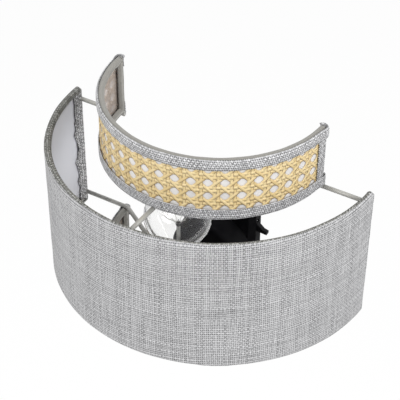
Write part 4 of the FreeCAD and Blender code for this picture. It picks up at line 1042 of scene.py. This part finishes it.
for which, side in (("upper", 1), ("lower", -1)):
    makeFilm(which, side)
    makeCane(which, side)
    makeTapes(which, side)
    makeEndTapes(which, side)
    makeBinding(which, side)
print("cane rings made")

# the bare wires carry a thick coat of paint, so they show a little fuller than the wire inside
coat = {"thick": 0.32, "weld": 0.005, "nodes": ["upper_spokes", "spider_wires"]}


def paintWires(name):
    bm = bmesh.new()
    bm.from_mesh(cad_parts[name].data)
    bmesh.ops.remove_doubles(bm, verts=bm.verts[:], dist=coat["weld"] * mm)
    bm.normal_update()
    for vert in bm.verts:
        vert.co += vert.normal * coat["thick"] * mm
    words = name.split("_")
    pieceName = words[0] + words[1].title() + "Coat"
    finishPiece(pieceName, bm, paintedWire, replaces=[name])


for name in coat["nodes"]:
    paintWires(name)

# metal, plastic and small parts that keep their CAD shape
finishes = {
    paintedWire: ["fitter_ring", "spider_wires", "upper_spokes", "outer_top_hoop", "outer_bottom_hoop",
                  "outer_posts", "upper_hoops", "upper_posts", "lower_hoops", "lower_posts"],
    powderBlack: ["back_box", "canopy_cup", "arm_collar", "holder_arm", "box_screws"],
    mouldedBlack: ["holder_base", "holder_body", "ring_nut", "switch_lever", "switch_body"],
    zincPlate: ["wall_bracket", "canopy_screws", "arm_nut", "base_nut", "terminal_screws", "switch_pin"],
    plainBrass: ["earth_screw", "earth_washer", "centre_contact", "screw_shell"],
    whiteNylon: ["terminal_block"],
    blackRubber: ["cable_grommet"],
    glazedWhite: ["holder_insulator"],
    rolledCap: ["bulb_cap", "bulb_contact"],
    blackVitreous: ["bulb_insulator"],
    drawnTungsten: ["filament", "filament_supports"],
}
for material, names in finishes.items():
    for name in names:
        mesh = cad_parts[name].data
        mesh.materials.clear()
        mesh.materials.append(material)
print("CAD nodes dressed")

# fuller rounded end of the toggle's lever
paddle = {"middle": (45.7, -6, 30.45), "size": (6.2, 4.7, 3.7), "slope": 13.6, "round": 0.9, "roundSteps": 3}


def makePaddle():
    bm = bmesh.new()
    place = Matrix.Translation(Vector(paddle["middle"]) * mm)
    turn = Matrix.Rotation(math.radians(paddle["slope"]), 4, "Y")
    size = Matrix.Diagonal((*[side * mm for side in paddle["size"]], 1))
    made = bmesh.ops.create_cube(bm, size=1, matrix=place @ turn @ size)
    edges = list({edge for vert in made["verts"] for edge in vert.link_edges})
    bmesh.ops.bevel(
        bm, geom=edges, offset=paddle["round"] * mm, segments=paddle["roundSteps"], profile=0.5,
        affect="EDGES", material=-1,
    )
    finishPiece("leverPaddle", bm, mouldedBlack, body="lever", sharp=50)


makePaddle()

# bulb: thin clear glass, heights from the contact's tip, profiles as radius and height
bulb = {
    "y": -79, "tip": 4.0, "globe": 30, "globeRise": 75, "globeEnd": -35, "globeSteps": 40, "wall": 0.8,
    "neck": 12.3, "neckRound": 11, "neckRise": 36.8, "neckSteps": 8, "joinSteps": 5, "seal": 24,
    "weld": 0.002,
    "stem": [
        (0, 46.6), (0.9, 46.5), (1.5, 46.1), (1.9, 45), (2.8, 41), (4.0, 38.4), (4.9, 34), (5.2, 31),
        (6.4, 28), (8.6, 25.6), (11.0, 24.6), (11.1, 24.0), (10.2, 24.0), (8.0, 25.0),
        (5.8, 27.6), (4.6, 30.6), (4.3, 34), (3.3, 37.6), (1.6, 38.6), (0, 38.8),
    ],
    "rod": [(0, 64.6), (1.5, 64.6), (1.75, 64.2), (1.75, 46.2), (1.4, 45.9), (0, 45.9)],
    "knobTop": [(0, 71.0), (0.22, 71.0), (0.25, 70.8), (0.25, 68.1), (0.5, 67.8)],
    "knobBall": {"rise": 66.0, "radius": 2.5, "start": 70, "end": -45, "steps": 8},
    "knobFoot": [(1.5, 64.0), (0, 63.9)],
    "glassSteps": 72, "stemSteps": 40, "smallSteps": 24,
}


def globeProfile(inset):
    high = arcPoints(0, bulb["globeRise"], bulb["globe"] - inset, 90, bulb["globeEnd"], bulb["globeSteps"])
    high[0] = (0.0, high[0][1])
    centre = bulb["neck"] + bulb["neckRound"]
    low = arcPoints(
        centre, bulb["neckRise"], bulb["neckRound"] + inset, 180 + bulb["globeEnd"], 180, bulb["neckSteps"]
    )
    start, end = Vector(high[-1]), Vector(low[0])
    between = [tuple(start.lerp(end, n / bulb["joinSteps"])) for n in range(1, bulb["joinSteps"])]
    return high + between + low + [(bulb["neck"] - inset, bulb["seal"])]


def makeTurned(name, profile, steps, material, replaces=()):
    # turns a profile about the bulb's axis
    bm = startCloth()
    verts = chain(bm, [Vector((r, bulb["y"], bulb["tip"] + z)) * mm for r, z in profile])
    bmesh.ops.spin(
        bm, geom=withEdges(verts), cent=Vector((0, bulb["y"], 0)) * mm, axis=(0, 0, 1), angle=2 * math.pi,
        steps=steps, use_merge=True, use_duplicate=False,
    )
    bmesh.ops.remove_doubles(bm, verts=bm.verts[:], dist=bulb["weld"] * mm)
    bmesh.ops.recalc_face_normals(bm, faces=bm.faces[:])
    finishPiece(name, bm, material, body="bulb", replaces=replaces, sharp=60)


def knobProfile():
    ball = bulb["knobBall"]
    middle = arcPoints(0, ball["rise"], ball["radius"], ball["start"], ball["end"], ball["steps"])
    return bulb["knobTop"] + middle + bulb["knobFoot"]


glass = globeProfile(0) + globeProfile(bulb["wall"])[::-1]
makeTurned("bulbGlass", glass, bulb["glassSteps"], clearGlass, replaces=["bulb_glass"])
makeTurned("bulbStem", bulb["stem"], bulb["stemSteps"], stemGlass, replaces=["bulb_stem"])
makeTurned("stemRod", bulb["rod"], bulb["smallSteps"], stemTube)
makeTurned("stemKnob", knobProfile(), bulb["smallSteps"], darkBead)
print("bulb made")
